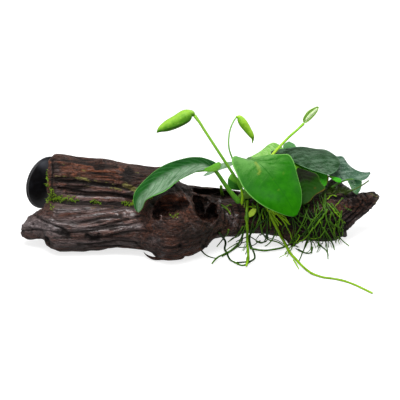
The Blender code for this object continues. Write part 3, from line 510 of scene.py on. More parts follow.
        (1.3, -1.5, (158, 216)), (1.4, 1.3, (186.5, 206.5)), (1.2, -1.4, (196, 199)), (1.3, -1.3, (203.5, 203)),
        (1.2, -1.2, (208, 206.5)), (1.3, 1.4, (215.5, 206)),
    ),
}
# stains, painted wet sheen and painted shade on the wood's seen side: width in pixels, strength, then the stroke's
# course in pixels
stainsSheenAndShade = {
    "red": (
        (2.6, 0.9, (60, 162), (95, 165)), (2.4, 1, (62, 168), (100, 171), (126, 176)),
        (2.4, 0.9, (65, 173.5), (95, 176), (120, 180)), (1.6, 0.8, (112, 166), (124, 171)),
        (1.6, 1, (49, 157.5), (48.5, 170), (49, 187)), (3, 1, (164, 198), (173, 199), (184, 200)),
        (2.5, 0.9, (160, 205), (168, 210)), (3, 0.8, (160, 203), (170, 206)), (4, 0.35, (168, 224), (178, 226)),
        (2, 0.7, (190, 206), (196, 212)), (4, 0.35, (186, 212), (192, 226)),
        (1.6, 0.7, (160, 259), (180, 257), (200, 249)), (1.6, 0.8, (60, 215), (100, 211), (120, 207.5)),
        (1.6, 0.6, (100, 217), (128, 212), (146, 214)), (5, 0.8, (340, 209), (352, 207), (366, 201)),
        (2, 1, (60, 190), (90, 194.5), (120, 195)), (1.4, 0.9, (60, 184.5), (90, 188), (125, 192)),
        (2, 0.9, (56, 197), (96, 199), (130, 202)), (3, 0.6, (80, 225), (120, 221), (140, 220)),
        (6, 0.3, (150, 230), (172, 240)), (2, 0.7, (218, 233), (228, 235)),
        (1.5, 0.6, (192, 191), (197, 195), (206, 196.5)),
    ),
    "lichen": (
        (1.9, 0.75, (56, 176), (74, 177.5)), (2.8, 1, (77, 177.5), (84, 179), (90, 181.5)),
        (2, 0.75, (94, 180.5), (108, 183), (115, 184.5)), (2, 0.9, (111, 188.5), (122, 190)),
        (3.6, 1.2, (125, 184.5), (134, 189)), (1.4, 1, (338, 183.5), (341.5, 187)),
        (1.3, 1, (82, 169.8), (85.5, 170.2)), (1.5, 0.7, (80, 186.5), (90, 187)),
        (1.4, 0.6, (133, 171), (150, 175)), (2.4, 1.3, (375, 204), (378, 199)), (2.6, 0.8, (368, 192), (376, 196)),
        (1.2, 1, (378.5, 199), (375, 206), (367, 214)), (5, 0.75, (328, 188), (346, 190)),
        (1.2, 0.8, (222.5, 207.5), (226, 207.5)),
    ),
    "golden": (
        (1, 0.8, (91, 207.7), (97, 207)), (0.9, 0.8, (100, 206.6), (104, 206.3)),
        (0.9, 0.7, (112, 205.8), (114, 205.6)), (1.4, 0.9, (376, 203), (378, 200)),
    ),
    # grey tone and painted wet sheen: pale streaks and glints where the wet wood catches the light
    "grey": (
        (7, 0.8, (60, 209), (100, 211), (130, 213)), (4, 0.8, (64, 222), (96, 221), (120, 216)),
        (9, 1.2, (28, 224), (44, 226), (58, 230)), (3, 1, (58, 191.5), (95, 193), (130, 195.5)),
        (2.4, 0.8, (60, 185), (100, 189), (130, 192.5)), (4, 0.7, (56, 244), (100, 243), (136, 243)),
        (5, 1, (76, 229), (110, 226), (138, 225)), (1.2, 1, (226, 212), (229, 219), (234, 226)),
        (1.1, 1, (229, 212), (233, 219), (238, 226)), (1.1, 0.9, (233, 211), (237, 218)),
        (1.3, 0.8, (219.5, 200), (221, 206), (225, 212)), (1.2, 0.6, (209, 224), (213, 227)),
        (1.2, 0.8, (190, 222), (195, 231)), (1.2, 0.35, (152, 225), (160, 221), (163, 213)),
        (1.2, 0.3, (184, 191), (188, 198), (193, 205)),
        (1.6, 0.6, (373, 194), (375.5, 200), (370, 209), (356, 221)), (2, 0.6, (347, 222), (358, 218)),
        (5, 1.1, (60, 198), (120, 201)), (5, 0.8, (328, 184), (338, 186), (350, 192)),
        (2.4, 0.9, (376, 196), (377, 202)), (1, 0.9, (158, 257), (164, 255.5)), (3, 0.6, (150, 240), (158, 240)),
        (1.2, 0.8, (344, 233), (345, 237)),
    ),
    "green": (
        (5, 1.5, (321, 191.5), (334, 188.5), (346, 191)), (2, 0.7, (47, 172), (47, 186)),
        (4, 0.7, (46, 196), (70, 199)), (3, 0.5, (56, 162), (64, 163)), (3, 0.5, (118, 217)),
        (2, 0.7, (216, 197), (230, 198)), (6, 0.35, (285, 215), (330, 225)), (2, 0.7, (224, 207)),
        (2, 0.6, (152, 197)), (3, 0.4, (42, 216)), (1.6, 0.6, (202, 187), (210, 188)), (2, 0.4, (145, 220)),
        (1.6, 0.5, (140, 168), (156, 168)),
    ),
    # painted shade: hollows and troughs, under the leaves, roots and knob, and along the underside
    "dark": (
        (14, 1, (262, 213), (300, 220), (334, 224)), (8, 1.1, (199, 206), (210, 212)), (5, 0.8, (206, 200)),
        (3, 0.9, (58, 232.5), (69, 237)), (2.8, 0.9, (87, 237), (98, 239.5)),
        (5, 0.65, (158, 211), (168, 208), (184, 205)), (2.4, 1, (98, 167.5)), (2.4, 0.9, (127.5, 171)),
        (2, 0.8, (45, 238), (46, 241)), (6, 1, (183, 187), (205, 191), (240, 195)),
        (8, 0.45, (150, 238), (180, 238), (206, 232)), (5, 0.6, (208, 226), (218, 220), (222, 210)),
        (5, 0.25, (56, 247), (100, 247), (140, 245)), (7, 0.6, (350, 213), (360, 203), (366, 197)),
        (12, 0.5, (168, 234), (190, 228)), (9, 0.55, (190, 228), (206, 236)), (6, 0.5, (158, 226), (180, 238)),
        (3, 0.8, (341, 193.5), (356, 194)), (4, 0.9, (337, 236), (345, 233)), (3, 0.8, (204, 246), (207, 247)),
        (2.5, 0.9, (154, 254), (157, 258)), (3, 0.8, (128, 170), (133, 171)), (9, 0.5, (145, 168), (175, 178)),
        (3, 0.5, (36, 228), (44, 234)), (5, 0.5, (240, 206), (244, 226)), (2, 0.25, (56, 181), (110, 186)),
        (3, 0.8, (334, 196), (346, 199)), (2.2, 0.6, (153, 203), (153, 211), (156, 219)),
    ),
}


def strokeShare(spots, width, points):
    # how near each seen spot is to a stroke, from 0 to 1
    line = np.array(points, float)
    if len(line) > 1:
        line = through(line, 5 * len(line))
    near = np.full(len(spots), np.inf)
    for start, end in zip(line, line[1:] if len(line) > 1 else line):
        course = end - start
        share = ((spots - start) @ course / max(course @ course, 1e-9)).clip(0, 1)
        near = np.minimum(near, np.linalg.norm(spots - start - share[:, None] * course, axis=1))
    return bell(near / width)


def strongest(spots, marks):
    # how strongly the marks, each with a width, a strength and a course, show at each seen spot
    share = np.zeros(len(spots))
    for width, strength, *course in marks:
        share = np.maximum(share, strength * strokeShare(spots, width, course))
    return share


def closedForks(name):
    # a node's mesh, with its fork faces moved on into the next piece so that the pieces overlap
    points = np.array([vert.co for vert in nodes[name].data.vertices])
    for point, normal in wood["forks"]:
        off = (points - point) @ np.array(normal)
        on = np.abs(off) < wood["forkWidth"]
        points[on] -= np.sign(off[on])[:, None] * np.array(normal) * wood["forkShift"]
    return points, [list(face.vertices) for face in nodes[name].data.polygons]


def skinned(points, faces, smoothing, triangles=0):
    # one even closed skin over closed meshes that overlap, or the same mesh with fewer triangles
    mesh = bpy.data.meshes.new("wood")
    mesh.from_pydata(points.tolist(), [], faces)
    thing = added("wood", mesh)
    if triangles:
        fewer = thing.modifiers.new("fewer", "DECIMATE")
        fewer.ratio = min(1.0, triangles / (2 * len(faces)))
    else:
        remesh = thing.modifiers.new("skin", "REMESH")
        remesh.mode = "VOXEL"
        remesh.voxel_size = wood["voxel"]
        smooth = thing.modifiers.new("smooth", "SMOOTH")
        smooth.factor = 0.5
        smooth.iterations = smoothing
    made = bpy.data.meshes.new_from_object(thing.evaluated_get(bpy.context.evaluated_depsgraph_get()))
    bpy.data.objects.remove(thing)
    points = np.empty(len(made.vertices) * 3)
    made.vertices.foreach_get("co", points)
    normals = np.empty(len(made.vertices) * 3)
    made.vertex_normals.foreach_get("vector", normals)
    faces = [face.vertices[:] for face in made.polygons]
    bpy.data.meshes.remove(made)
    return points.reshape(-1, 3), normals.reshape(-1, 3), faces


def hollowed(points):
    # pushes what shows in each hollow back to its floor, and the underside up to its row
    points = points.copy()
    ragged, raggedSize = wood["ragged"]
    lumpy, lumpySize = wood["lumpy"]
    for column, row, wide, tall, rim, floor in wood["hollows"]:
        spots = seenAt(points)
        flat = points * wood["flat"]
        share = ((spots[:, 0] - column) / wide) ** 2 + ((spots[:, 1] - row) / tall) ** 2
        share = share * (1 + ragged * noiseAt(flat, raggedSize, column))
        bed = 1 + lumpy * noiseAt(flat, lumpySize, row)
        want = rim + (floor - rim) * bed * np.sqrt((1 - share).clip(0, 1))
        push = want - (points[:, 1] - view["target"][1]) * 1000
        push[(share > 1) | (push < 0) | (push > wood["deepest"])] = 0
        points -= towardsCamera * (push / viewCos / 1000)[:, None]
    spots = seenAt(points)
    below = 2 * view["middle"]
    lowest = np.interp(spots[:, 0], *zip(*wood["underside"]), left=below, right=below)
    points[:, 2] += (spots[:, 1] - lowest).clip(0) * view["pixel"] / viewCos
    return points


def woodSkin():
    # the fine skin's points, normals and faces
    shape = Shape()
    for name in ("driftwood_log", "driftwood_lower_limb", "driftwood_right_limb"):
        shape.add(closedForks(name))
    points, _, faces = skinned(np.vstack(shape.points), shape.faces, wood["smoothing"][0])
    return skinned(hollowed(points), faces, wood["smoothing"][1])


def carve(points, normals):
    # the skin's height above its smooth form in metres, and the numbers that its finish reads
    spots = seenAt(points)
    facing = soft(normals @ towardsCamera, *wood["facing"])
    grain = points + drift(points, *wood["warp"])
    cut = dark = 0
    for size, seed, width, depth, shade in wood["cracks"]:
        crack = bell(noiseAt(grain, size, seed) / width)
        cut = cut + depth * crack
        dark = dark + shade * crack
    gritSize, gritSeed, gritHeight = wood["grit"]
    swells = sum(share * noiseAt(points, size, seed) for size, seed, share in wood["swells"])
    stir = np.ones(len(points))
    for width, strength, *course in wood["calm"]:
        stir = np.minimum(stir, 1 - strength * strokeShare(spots, width, course) * facing)
    height = wood["swellHeight"] * swells - stir * cut + gritHeight * noiseAt(grain, gritSize, gritSeed)
    for reach, rise, column, row in wood["lumps"]:
        # the lump stands on the nearest seen point: those that face away count as far off
        off = np.linalg.norm(spots - (column, row), axis=1) + 100 * (facing < 0.3)
        middle = points[off.argmin()]
        height += rise * bell(np.linalg.norm(points - middle, axis=1) * 1000 / reach)
    # painted shade: cracks, grooves and pits darken with their depth
    hollow = stir * dark
    for kind, shade in wood["shade"].items():
        for width, depth, *course in wood[kind]:
            share = strokeShare(spots, width, course) * facing
            height -= depth * share
            hollow += shade * depth * share
    values = {name: strongest(spots, strokes) * facing for name, strokes in stainsSheenAndShade.items()}
    return height / 1000, {"hollow": hollow.clip(0, 1), **values}


# the wood's colours: grey is partly a painted wet sheen, and hollow and dark are painted shade
woodLook = {
    "deep": (0.02, 0.009, 0.006), "warm": (0.155, 0.062, 0.04), "patch": (0.05, 0.032, 0.03),
    "grey": (0.26, 0.21, 0.215), "red": (0.30, 0.08, 0.025), "crack": (0.012, 0.005, 0.003),
    "hollow": (0.006, 0.003, 0.002), "dark": (0.007, 0.0045, 0.004),
    "lichen": ((0.13, 0.12, 0.03), (0.34, 0.30, 0.09)), "green": (0.085, 0.145, 0.015),
    "golden": (0.50, 0.30, 0.07), "bumps": 0.0013, "gloss": 0.35, "coatRough": 0.19,
}


def woodMaterial():
    look = woodLook
    graph = Graph("wet_driftwood")
    streaks = graph.noise(2.0, (0.07, 1, 1), 6.0, 0.65, 0.6)
    patches = graph.noise(16, (0.6, 1, 1), 3.0)
    grit = graph.noise(0.8, (0.6, 1, 1), 4.0, 0.7)
    crackle = graph.cells(2.6, (0.3, 1, 1))
    speckle = graph.noise(1.7, (0.6, 1, 1), 4.0, 0.65)
    lines = graph.noise(1.5, (0.045, 1, 1), 3.0, 0.5, 0.5)
    crack = 1 - graph.step(abs(lines - 0.5), 0.0, 0.03)
    hollow = graph.step(graph.value("hollow"), 0.15, 0.75)
    grey, red, dark = (graph.value(name) for name in ("grey", "red", "dark"))
    lichen = graph.step(0.45 * graph.value("lichen") + speckle, 0.78, 0.98)
    green = graph.step(0.4 * graph.value("green") + speckle, 0.76, 0.96)
    golden = graph.step(0.5 * graph.value("golden") + speckle, 0.8, 1.0)
    colour = graph.coated(
        look["deep"],
        (graph.step(streaks, 0.36, 0.66), look["warm"]),
        (0.55 * graph.step(patches, 0.45, 0.72), look["patch"]),
        # the grey tone with its painted wet sheen
        (0.8 * grey * graph.step(streaks + 0.4 * grit, 0.45, 0.85), look["grey"]),
        (red * graph.step(streaks + 0.3 * grit, 0.5, 0.85), look["red"]),
        (0.7 * crack, look["crack"]),
        # near-black painted shade in cracks, grooves and pits
        (0.88 * hollow, look["hollow"]),
        # near-black painted shade from the dark strokes
        (0.88 * dark, look["dark"]),
        (lichen, graph.mix(grit, *look["lichen"])),
        (green, look["green"]),
        (golden, look["golden"]),
    )
    rough = 0.2 + 0.3 * grit + 0.3 * lichen + 0.3 * hollow + 0.25 * dark
    film = 0.85 * graph.step(speckle + 0.35 * grey, 0.52, 0.76) * (1 - lichen) * (1 - hollow)
    film = film * (1 - 0.6 * dark) * (1 - 0.5 * red)
    height = 0.6 * streaks + 0.5 * grit + 0.45 * graph.step(crackle, 0.0, 0.15) + 0.4 * speckle - 0.3 * crack
    return graph.finish(height, look["bumps"], colour=colour, rough=rough, gloss=look["gloss"], coat=film,
                        coatRough=look["coatRough"])


def largest(faces, count):
    # the faces of the biggest joined piece, which leaves out bubbles shut inside the wood
    mark = np.arange(count)
    while True:
        fresh = mark.copy()
        np.minimum.at(fresh, faces.ravel(), np.repeat(mark[faces].min(axis=1), faces.shape[1]))
        fresh = fresh[fresh]
        if (fresh == mark).all():
            return faces[mark[faces[:, 0]] == np.bincount(mark[faces[:, 0]]).argmax()]
        mark = fresh


def forkCap(points, corners):
    # a fan inside the wood that closes a half where it is cut from the other
    edges = {(start, end) for corner in corners for start, end in zip(corner, (*corner[1:], corner[0]))}
    fork = wood["forks"][0][0][0]
    bare = [(start, end) for start, end in sorted(edges) if (end, start) not in edges
             and abs(points[start][0] - fork) < wood["capReach"]]
    used = sorted({spot for edge in bare for spot in edge})
    order = {spot: k for k, spot in enumerate(used)}
    rim = points[used]
    return np.vstack((rim, rim.mean(axis=0))), [[order[end], order[start], len(used)] for start, end in bare]


def makeWood():
    points, normals, faces = woodSkin()
    faces = largest(np.array(faces), len(points))
    height, values = carve(points, normals)
    points = points + normals * height[:, None]
    points[:, 2] = points[:, 2].clip(0)
    material = woodMaterial()
    count, sides, shade = wood["splinterMesh"]
    splinter = tubeRings(*knotPath(wood["splinter"], count), sides)
    left = points[faces].mean(axis=1)[:, 0] < wood["forks"][0][0][0]
    halves = (("wood_log", left, ("driftwood_log", "driftwood_lower_limb")),
              ("wood_right", ~left, ("driftwood_right_limb",)))
    for name, chosen, replaced in halves:
        used, index = np.unique(faces[chosen], return_inverse=True)
        near = KDTree(len(used))
        for number, point in enumerate(points[used]):
            near.insert(point, number)
        near.balance()
        fewer, _, corners = skinned(points[used], index.reshape(-1, 4).tolist(), 0, wood["triangles"][name])
        match = used[[near.find(point)[1] for point in fewer]]
        shape = Shape(*values)
        shape.add((fewer, corners), **{label: numbers[match] for label, numbers in values.items()})
        shape.add(forkCap(fewer, corners))
        if name == "wood_log":
            # the splinter gets half the painted shade of the dark strokes
            shape.add(loft(splinter), dark=shade)
        shape.build(name, [material], replaced)
        print(name, sum(len(corner) - 2 for corner in corners), "triangles")
    return BVHTree.FromPolygons(points.tolist(), faces.tolist())


woodTree = makeWood()
print("driftwood: carved")


def sight(column, row):
    # two points of the line of sight: one in front of everything, one behind it
    return place(column, row, -view["reach"]), place(column, row, view["reach"])


def woodSeen(column, row):
    # the wood's point and normal seen at this column and row, where there is wood
    near, far = sight(column, row)
    return woodTree.ray_cast(Vector(near), Vector(far - near).normalized())[:2]


def onWood(column, row, lift):
    hit, normal = woodSeen(column, row)
    return None if hit is None else np.array(hit + normal * lift)


def onGround(column, row, lift):
    near, far = sight(column, row)
    return near + (far - near) * (lift - near[2]) / (far[2] - near[2])


def lie(lift, column, row, depth=None):
    # the point seen at this column and row: at its depth, or on the wood where it shows, and else on the ground
    if depth not in (None, "ground"):
        return place(column, row, depth)
    spot = None if depth else onWood(column, row, lift)
    return onGround(column, row, lift) if spot is None else spot


def offWood(path, lift):
    # the path with its points moved out of the wood and above the ground
    path = np.array(path, float)
    lifts = np.broadcast_to(lift, len(path))
    for point, gap in zip(path, lifts):
        found, normal, _, away = woodTree.find_nearest(Vector(point[:3]))
        if away < wood["near"] and (Vector(point[:3]) - found).dot(normal) < gap:
            point[:3] = found + normal * gap
        point[2] = max(point[2], gap)
    return path


def smoothed(path, rounds):
    for _ in range(rounds):
        path[1:-1] = (path[:-2] + 2 * path[1:-1] + path[2:]) / 4
    return path


# suction cup: turned about the axis that the wood holds it by
cup = {
    "middle": (45.6, 182.2, 57), "aim": math.radians(-44), "turns": 96,
    # a painted highlight at a column and row, with its reach in pixels, and the profile places, column and fade of a
    # painted highlight along the rim
    "bloom": (43.5, 163.5, 6, 4.5), "worn": (11, 12), "rimHighlightColumn": 44, "rimHighlightFade": 8,
    "deep": (0.004, 0.004, 0.005), "dust": (0.014, 0.015, 0.019), "paintedHighlightColour": (0.07, 0.074, 0.09),
    "rimHighlightColour": (0.12, 0.12, 0.125), "bumps": 0.00004, "coat": 0.15,
    # along the axis from the rim's plane, and out from it, in millimetres
    "profile": (
        (3.5, 0), (3.2, 5), (2.4, 11), (1.2, 17), (0.25, 20.2), (0, 20.6), (0, 21.6), (0.15, 21.9),
        (0.5, 22), (0.95, 22), (1.2, 21.8), (1.35, 21.3), (1.45, 20.6), (1.5, 20.1), (1.75, 19.7),
        (2.1, 19), (3.2, 15.5), (4.3, 12), (5.3, 9.2), (6, 7.5), (6.5, 6.5), (7.2, 5.5), (7.9, 5.05),
        (9, 5), (14, 5), (16.5, 5), (17.2, 4.7), (17.5, 4), (17.5, 0),
    ),
}


def makeCup():
    forward = np.array((math.cos(cup["aim"]), math.sin(cup["aim"]), 0.0))
    out = around(circle(cup["turns"]), np.array((-forward[1], forward[0], 0.0)), np.array((0.0, 0.0, 1.0)))
    middle = place(*cup["middle"])
    rings = np.array([middle + forward * along / 1000 + out * max(wide, 0.01) / 1000
                      for along, wide in cup["profile"]])
    points, faces = loft(rings)
    spots = seenAt(points)
    # painted highlight: a pale patch on the upper dome
    bloom = bell(np.linalg.norm((spots - cup["bloom"][:2]) / cup["bloom"][2:], axis=1))
    # painted highlight: a pale line on the rim's bead, on its left side only
    worn = np.isin(np.arange(len(points)) // cup["turns"], cup["worn"])
    worn = worn * soft(cup["rimHighlightColumn"] - spots[:, 0], 0, cup["rimHighlightFade"])
    graph = Graph("black_rubber")
    dust = graph.noise(5, detail=5.0, rough=0.65)
    grain = graph.noise(0.35, detail=2.0)
    colour = graph.coated(
        cup["deep"],
        (graph.step(dust, 0.45, 0.8), cup["dust"]),
        # the painted highlights over the rubber's own colours
        (graph.value("bloom"), cup["paintedHighlightColour"]),
        (graph.value("worn"), cup["rimHighlightColour"]),
    )
    material = graph.finish(grain, cup["bumps"], colour=colour, rough=0.22 + 0.22 * dust, coat=cup["coat"])
    shape = Shape("bloom", "worn")
    shape.add((points, faces), bloom=bloom, worn=worn)
    shape.build("cup", [material], ["suction_cup"])


makeCup()
print("suction cup: made")

# what a blade's finish is where its leaf says nothing else; the sheen is a pale band between the first and last of
# four places across the blade, a painted sheen on most blades and the pale inside of the open hood, and the steps
# after it are places along the blade or in its streaks
plainLook = {
    "veins": 9, "sweep": 2.2, "veinWidth": 0.1, "veinShow": 0.35, "veinEnd": (0.9, 1.1), "ribWidth": 0.05,
    "ribShow": 0.6, "rimStart": 0.93, "rimShow": 0.8, "ramp": 0.35, "fade": 0.0, "speckle": 0.12,
    "sheen": (-1.1, -1.0, 1.0, 1.1), "sheenTip": 0.0, "sheenEnd": (0.88, 1.05), "sheenShow": 0.25,
    "streaks": 26, "streaksAcross": 2.2, "streakEdge": (0.42, 0.62), "scar": (0.16, 0.075, 0.015),
    "rough": 0.4, "gloss": 0.12, "shine": 0.0, "bumps": 0.0003,
}
curve = 1.3  # how strongly the veins bend towards the tip


def leafMaterial(name, look):
    # a waxy blade: streaks and veins from the midrib to the margin, a paler rim, and a matt underside
    look = {**plainLook, **look}
    graph = Graph(name)
    along, across, brown = (graph.value(label) for label in ("along", "across", "brown"))
    side = abs(across)
    mottle = graph.noise(6, detail=4.0, rough=0.6)
    pores = graph.noise(0.8, detail=3.0, rough=0.65)
    course = along - side**curve * (look["sweep"] / look["veins"])
    phase = course * look["veins"] + 0.25 * mottle
    line = graph.step(abs(graph.maths("FRACT", phase + 100) - 0.5), 0.5 - look["veinWidth"], 0.5)
    line = line * (1 - graph.step(side, 0.8, 1.0)) * (1 - graph.step(along, *look["veinEnd"]))
    if "grain" in look:
        streak = graph.noise(2.4, look["grain"], 4.0, 0.7)
    else:
        flat = graph.node("ShaderNodeCombineXYZ", {}, {
            0: course * look["streaks"], 1: side * look["streaksAcross"], 2: across})
        values = {"Vector": flat, "Scale": 1.0, "Detail": 4.0, "Roughness": 0.7}
        streak = graph.node("ShaderNodeTexNoise", {}, values)
    rib = 1 - graph.step(side, 0.012, look["ribWidth"])
    rim = graph.step(side, look["rimStart"], 0.985)
    blend = graph.step(0.75 * mottle + look["ramp"] * along + look["fade"], 0.35, 0.85)
    # the sheen band: a painted sheen on most blades, the pale inside on the open hood
    start, full, fading, end = look["sheen"]
    reached = across + look["sheenTip"] * graph.step(along, 0.72, 0.95)
    sheen = graph.step(reached, start, full) * (1 - graph.step(across, fading, end))
    sheen = sheen * graph.step(streak + 0.25 * (pores - 0.5), *look["streakEdge"])
    sheen = sheen * (1 - graph.step(along, *look["sheenEnd"]))
    colour = graph.coated(
        look["deep"],
        (blend, look["light"]),
        # the pale colour over the sheen band: painted sheen
        (look["sheenShow"] * sheen, look["pale"]),
        # pale speckle on the pores, which on some leaves also paints a speckled sheen
        (look["speckle"] * graph.step(pores, 0.5, 0.75), look["pale"]),
        (look["veinShow"] * line, look.get("vein", look["pale"])),
        (look["ribShow"] * rib, look["rib"]),
        (look["rimShow"] * rim, look["rim"]),
    )
    colour = graph.mix(graph.value("upper"), look["under"], colour)
    colour = graph.mix(brown, colour, look["scar"])
    rough = look["rough"] + 0.18 * (mottle - 0.5) + 0.3 * brown
    height = look["veinShow"] * (1 - line) + 0.25 * pores + 0.5 * mottle + 0.3 * streak
    return graph.finish(height, look["bumps"], colour=colour, rough=rough, gloss=look["gloss"], light=colour,
                        shine=look["shine"])


# stems also glow faintly in their own colour: painted light
stemLook = {"stripe": (0.2, 0.34, 0.04), "bumps": 0.00012, "gloss": 0.28, "shine": 0.1}


def stalkMaterial(name, low, high, stripe=stemLook["stripe"]):
    # a fleshy stem: faint lengthwise lines, and its colour changing from foot to head
    graph = Graph(name)
    fibre = graph.noise(0.7, (1, 1, 0.12), 3.0)
    blotch = graph.noise(5, detail=3.0)
    grown = graph.step(graph.value("along") + 0.3 * (blotch - 0.5), 0.1, 0.9)
    colour = graph.coated(low, (grown, high), (0.35 * graph.step(fibre, 0.5, 0.7), stripe))
    return graph.finish(fibre, stemLook["bumps"], colour=colour, rough=0.34 + 0.15 * blotch,
                        gloss=stemLook["gloss"], light=colour, shine=stemLook["shine"])


# what a leaf is where its own entry says nothing else; waves and furrow are in millimetres
plainLeaf = {
    "slot": "leaf_dark", "veins": 9, "sweep": 2.2, "quilt": 0.1, "wave": 0.5, "furrow": 0.2, "sheath": 0.25,
    "brown": (), "lobes": (), "lobeLook": {}, "stem": ((0.05, 0.17, 0.012), (0.12, 0.34, 0.02)),
}
# the blades' mesh, with thickness, rim and reach of furrow, quilting and waves in metres
bladeMesh = {
    "rows": 60, "columns": 31, "lobe": (24, 15), "half": 0.0003, "thinning": 0.45, "rim": 0.00022,
    "furrow": 0.0011, "quilt": 0.01, "wave": (0.02, 9), "upwards": (0.0, -0.5, 0.85),
}
# the stalk's points and sides, then the keel under the blade: its end, its radii and the points that it blends in
keelMesh = {"points": 22, "sides": 12, "end": 0.86, "taper": (0.75, 0.16), "blend": (18, 26), "smoothing": 2}


def addBlade(shape, leaf, rows=bladeMesh["rows"], columns=bladeMesh["columns"], finish=0):
    # a blade through its far edge, midrib and near edge, with thickness, a furrowed midrib and raised veins
    leaf = {**plainLeaf, **leaf}
    foot, tip = leaf["midrib"][0], leaf["midrib"][-1]
    far, rib, near = (through(placed(edge), rows + 2)[1:-1, None]
                      for edge in ((foot, *leaf["far"], tip), leaf["midrib"], (foot, *leaf["near"], tip)))
    even = np.linspace(-1, 1, columns)
    across = (even + np.sin(even * math.pi / 2)) / 2
    t = across[None, :, None]
    sheet = far * t * (t - 1) / 2 + rib * (1 - t * t) + near * t * (t + 1) / 2
    along = np.linspace(0, 1, rows + 2)[1:-1, None]
    out = unit(np.cross(np.gradient(sheet, axis=1), np.gradient(sheet, axis=0)))
    upper = 1.0 if (out @ np.array(bladeMesh["upwards"])).mean() > 0 else 0.0
    wide = np.linalg.norm(far - near, axis=-1) / 2
    furrow = bell(across * wide / bladeMesh["furrow"])
    phase = along * leaf["veins"] - np.abs(across) ** curve * leaf["sweep"]
    quilt = np.cos(2 * math.pi * phase) * (1 - across**4) * (1 - furrow)
    quilt = quilt * np.minimum(1, wide / bladeMesh["quilt"])
    wave = noiseAt(sheet.reshape(-1, 3), *bladeMesh["wave"]).reshape(sheet.shape[:2])
    lift = leaf["quilt"] * quilt + leaf["wave"] * wave
    lift -= leaf["furrow"] * furrow * np.sin(math.pi * along)
    sheet = sheet + out * (lift * (2 * upper - 1))[..., None] / 1000
    half = out * bladeMesh["half"] * (1 - bladeMesh["thinning"] * across**8)[None, :, None]
    edge = bladeMesh["rim"] * unit(near - far)
    rings = np.concatenate((sheet + half, sheet[:, -1:] + edge, (sheet - half)[:, ::-1], sheet[:, :1] - edge), axis=1)
    ringAcross = np.concatenate((across, (1,), across[::-1], (-1,)))
    ringUpper = np.concatenate((np.full(columns, upper), (0.5,), np.full(columns, 1 - upper), (0.5,)))
    shape.add(
        loft(rings), finish,
        along=perRing(rings, along),
        across=np.concatenate((np.tile(ringAcross, rows), (0, 0))),
        upper=np.concatenate((np.tile(ringUpper, rows), (0.5, 0.5))),
        brown=np.concatenate((strongest(seenAt(rings.reshape(-1, 3)), leaf["brown"]), (0, 0))),
    )
    return sheet[:, columns // 2], -out[:, columns // 2] * (2 * upper - 1)


def makeLeaf(name, leaf):
    # the blade and, where it has one, its stalk, which runs on under the blade as a keel
    leaf = {**plainLeaf, **leaf}
    shape = Shape("along", "across", "upper", "brown")
    rib, under = addBlade(shape, leaf)
    for extra in leaf["lobes"]:
        addBlade(shape, {**leaf, **extra}, *bladeMesh["lobe"], 1 if extra.get("pale") else 0)
    blade = leafMaterial(name, leaf["look"])
    if "stalk" not in leaf:
        shape.build(f"{name}_blade", [blade], [name])
        return
    radius = leaf["radius"] / 1000
    rise = through(placed(leaf["stalk"]) + [rib[0]], keelMesh["points"])
    foot = 1 + leaf["sheath"] * np.linspace(1, 0, len(rise)) ** 2
    keelEnd = int(len(rib) * keelMesh["end"])
    taper = np.linspace(*keelMesh["taper"], keelEnd - 1)
    keel = rib[1:keelEnd] + under[1:keelEnd] * (taper * radius)[:, None]
    radii = radius * np.concatenate((foot, taper))
    start, end = keelMesh["blend"]
    radii[start:end] = np.interp(np.arange(start, end), (start, end), (radii[start], radii[end]))
    path = smoothed(np.vstack((offWood(rise, radius), keel)), keelMesh["smoothing"])
    rings = tubeRings(path, radii, keelMesh["sides"])
    shape.add(loft(rings), 2, along=perRing(rings), upper=1)
    pale = leafMaterial(f"{name}_lobe", {**leaf["look"], **leaf["lobeLook"]})
    stem = stalkMaterial(f"{name}_stalk", *leaf["stem"])
    shape.build(f"{name}_blade", [blade, pale, stem], [name])


# each leaf: knots of column, row and depth along midrib, far and near edge and stalk, its radius in
# millimetres, and its look
leaves = {}
leaves["leaf_left"] = {
    "midrib": ((214, 169, -6), (202, 165, -9), (185, 168, -14), (165, 176.5, -18), (150, 187.5, -21),
               (141, 200, -22), (137.5, 213.5, -23)),
    "far": ((216, 163, -2), (205, 158, 0), (196, 157, 1), (185, 158.5, 0), (165, 165, -4), (148, 177, -8),
            (135, 192, -14), (134, 205, -19)),
    "near": ((205, 170, -12), (195, 172.5, -17), (178, 181, -26), (165, 191, -31), (147, 199, -31),
             (142, 208, -27)),
    "stalk": ((238, 201, 1), (229, 190, -2), (222, 180, -4), (216.5, 172, -6)),
    "radius": 1.5, "sheath": 0.5, "quilt": 0.22, "veins": 11, "sweep": 2.6, "furrow": 0.06,
    "look": {
        "deep": (0.005, 0.055, 0.006), "light": (0.018, 0.115, 0.016), "pale": (0.33, 0.48, 0.325),
        "rib": (0.02, 0.12, 0.02), "rim": (0.17, 0.5, 0.1), "under": (0.1, 0.36, 0.03),
        "veins": 11, "sweep": 2.6, "veinWidth": 0.15, "veinShow": 0.6, "vein": (0.03, 0.15, 0.035),
        "rimStart": 0.94, "rough": 0.36, "sheen": (-0.42, 0.25, 0.85, 1), "sheenShow": 0.8, "streaks": 13,
        "streakEdge": (0.12, 0.72), "sheenEnd": (0.8, 2.2), "sheenTip": 0.42, "ribShow": 0, "speckle": 0.05,
        "gloss": 0.07,
    },
    "lobes": (
        {"midrib": ((195, 172.4, -15), (205, 170, -12), (212, 168, -9.5), (217, 165.5, -7), (220, 161.4, -4)),
         "far": ((204, 168.9, -11.5), (211, 165.9, -8.5), (216.5, 162.8, -5)),
         "near": ((204, 171.4, -13), (212, 171.6, -11), (218.6, 169.6, -8), (221, 165.2, -5.5)), "pale": True},
    ),
    "lobeLook": {"deep": (0.1, 0.38, 0.02), "light": (0.16, 0.48, 0.035), "under": (0.16, 0.46, 0.035),
                 "pale": (0.2, 0.5, 0.06), "rim": (0.3, 0.6, 0.1)},
    "stem": ((0.08, 0.3, 0.016), (0.3, 0.62, 0.05), (0.3, 0.55, 0.05)),
}
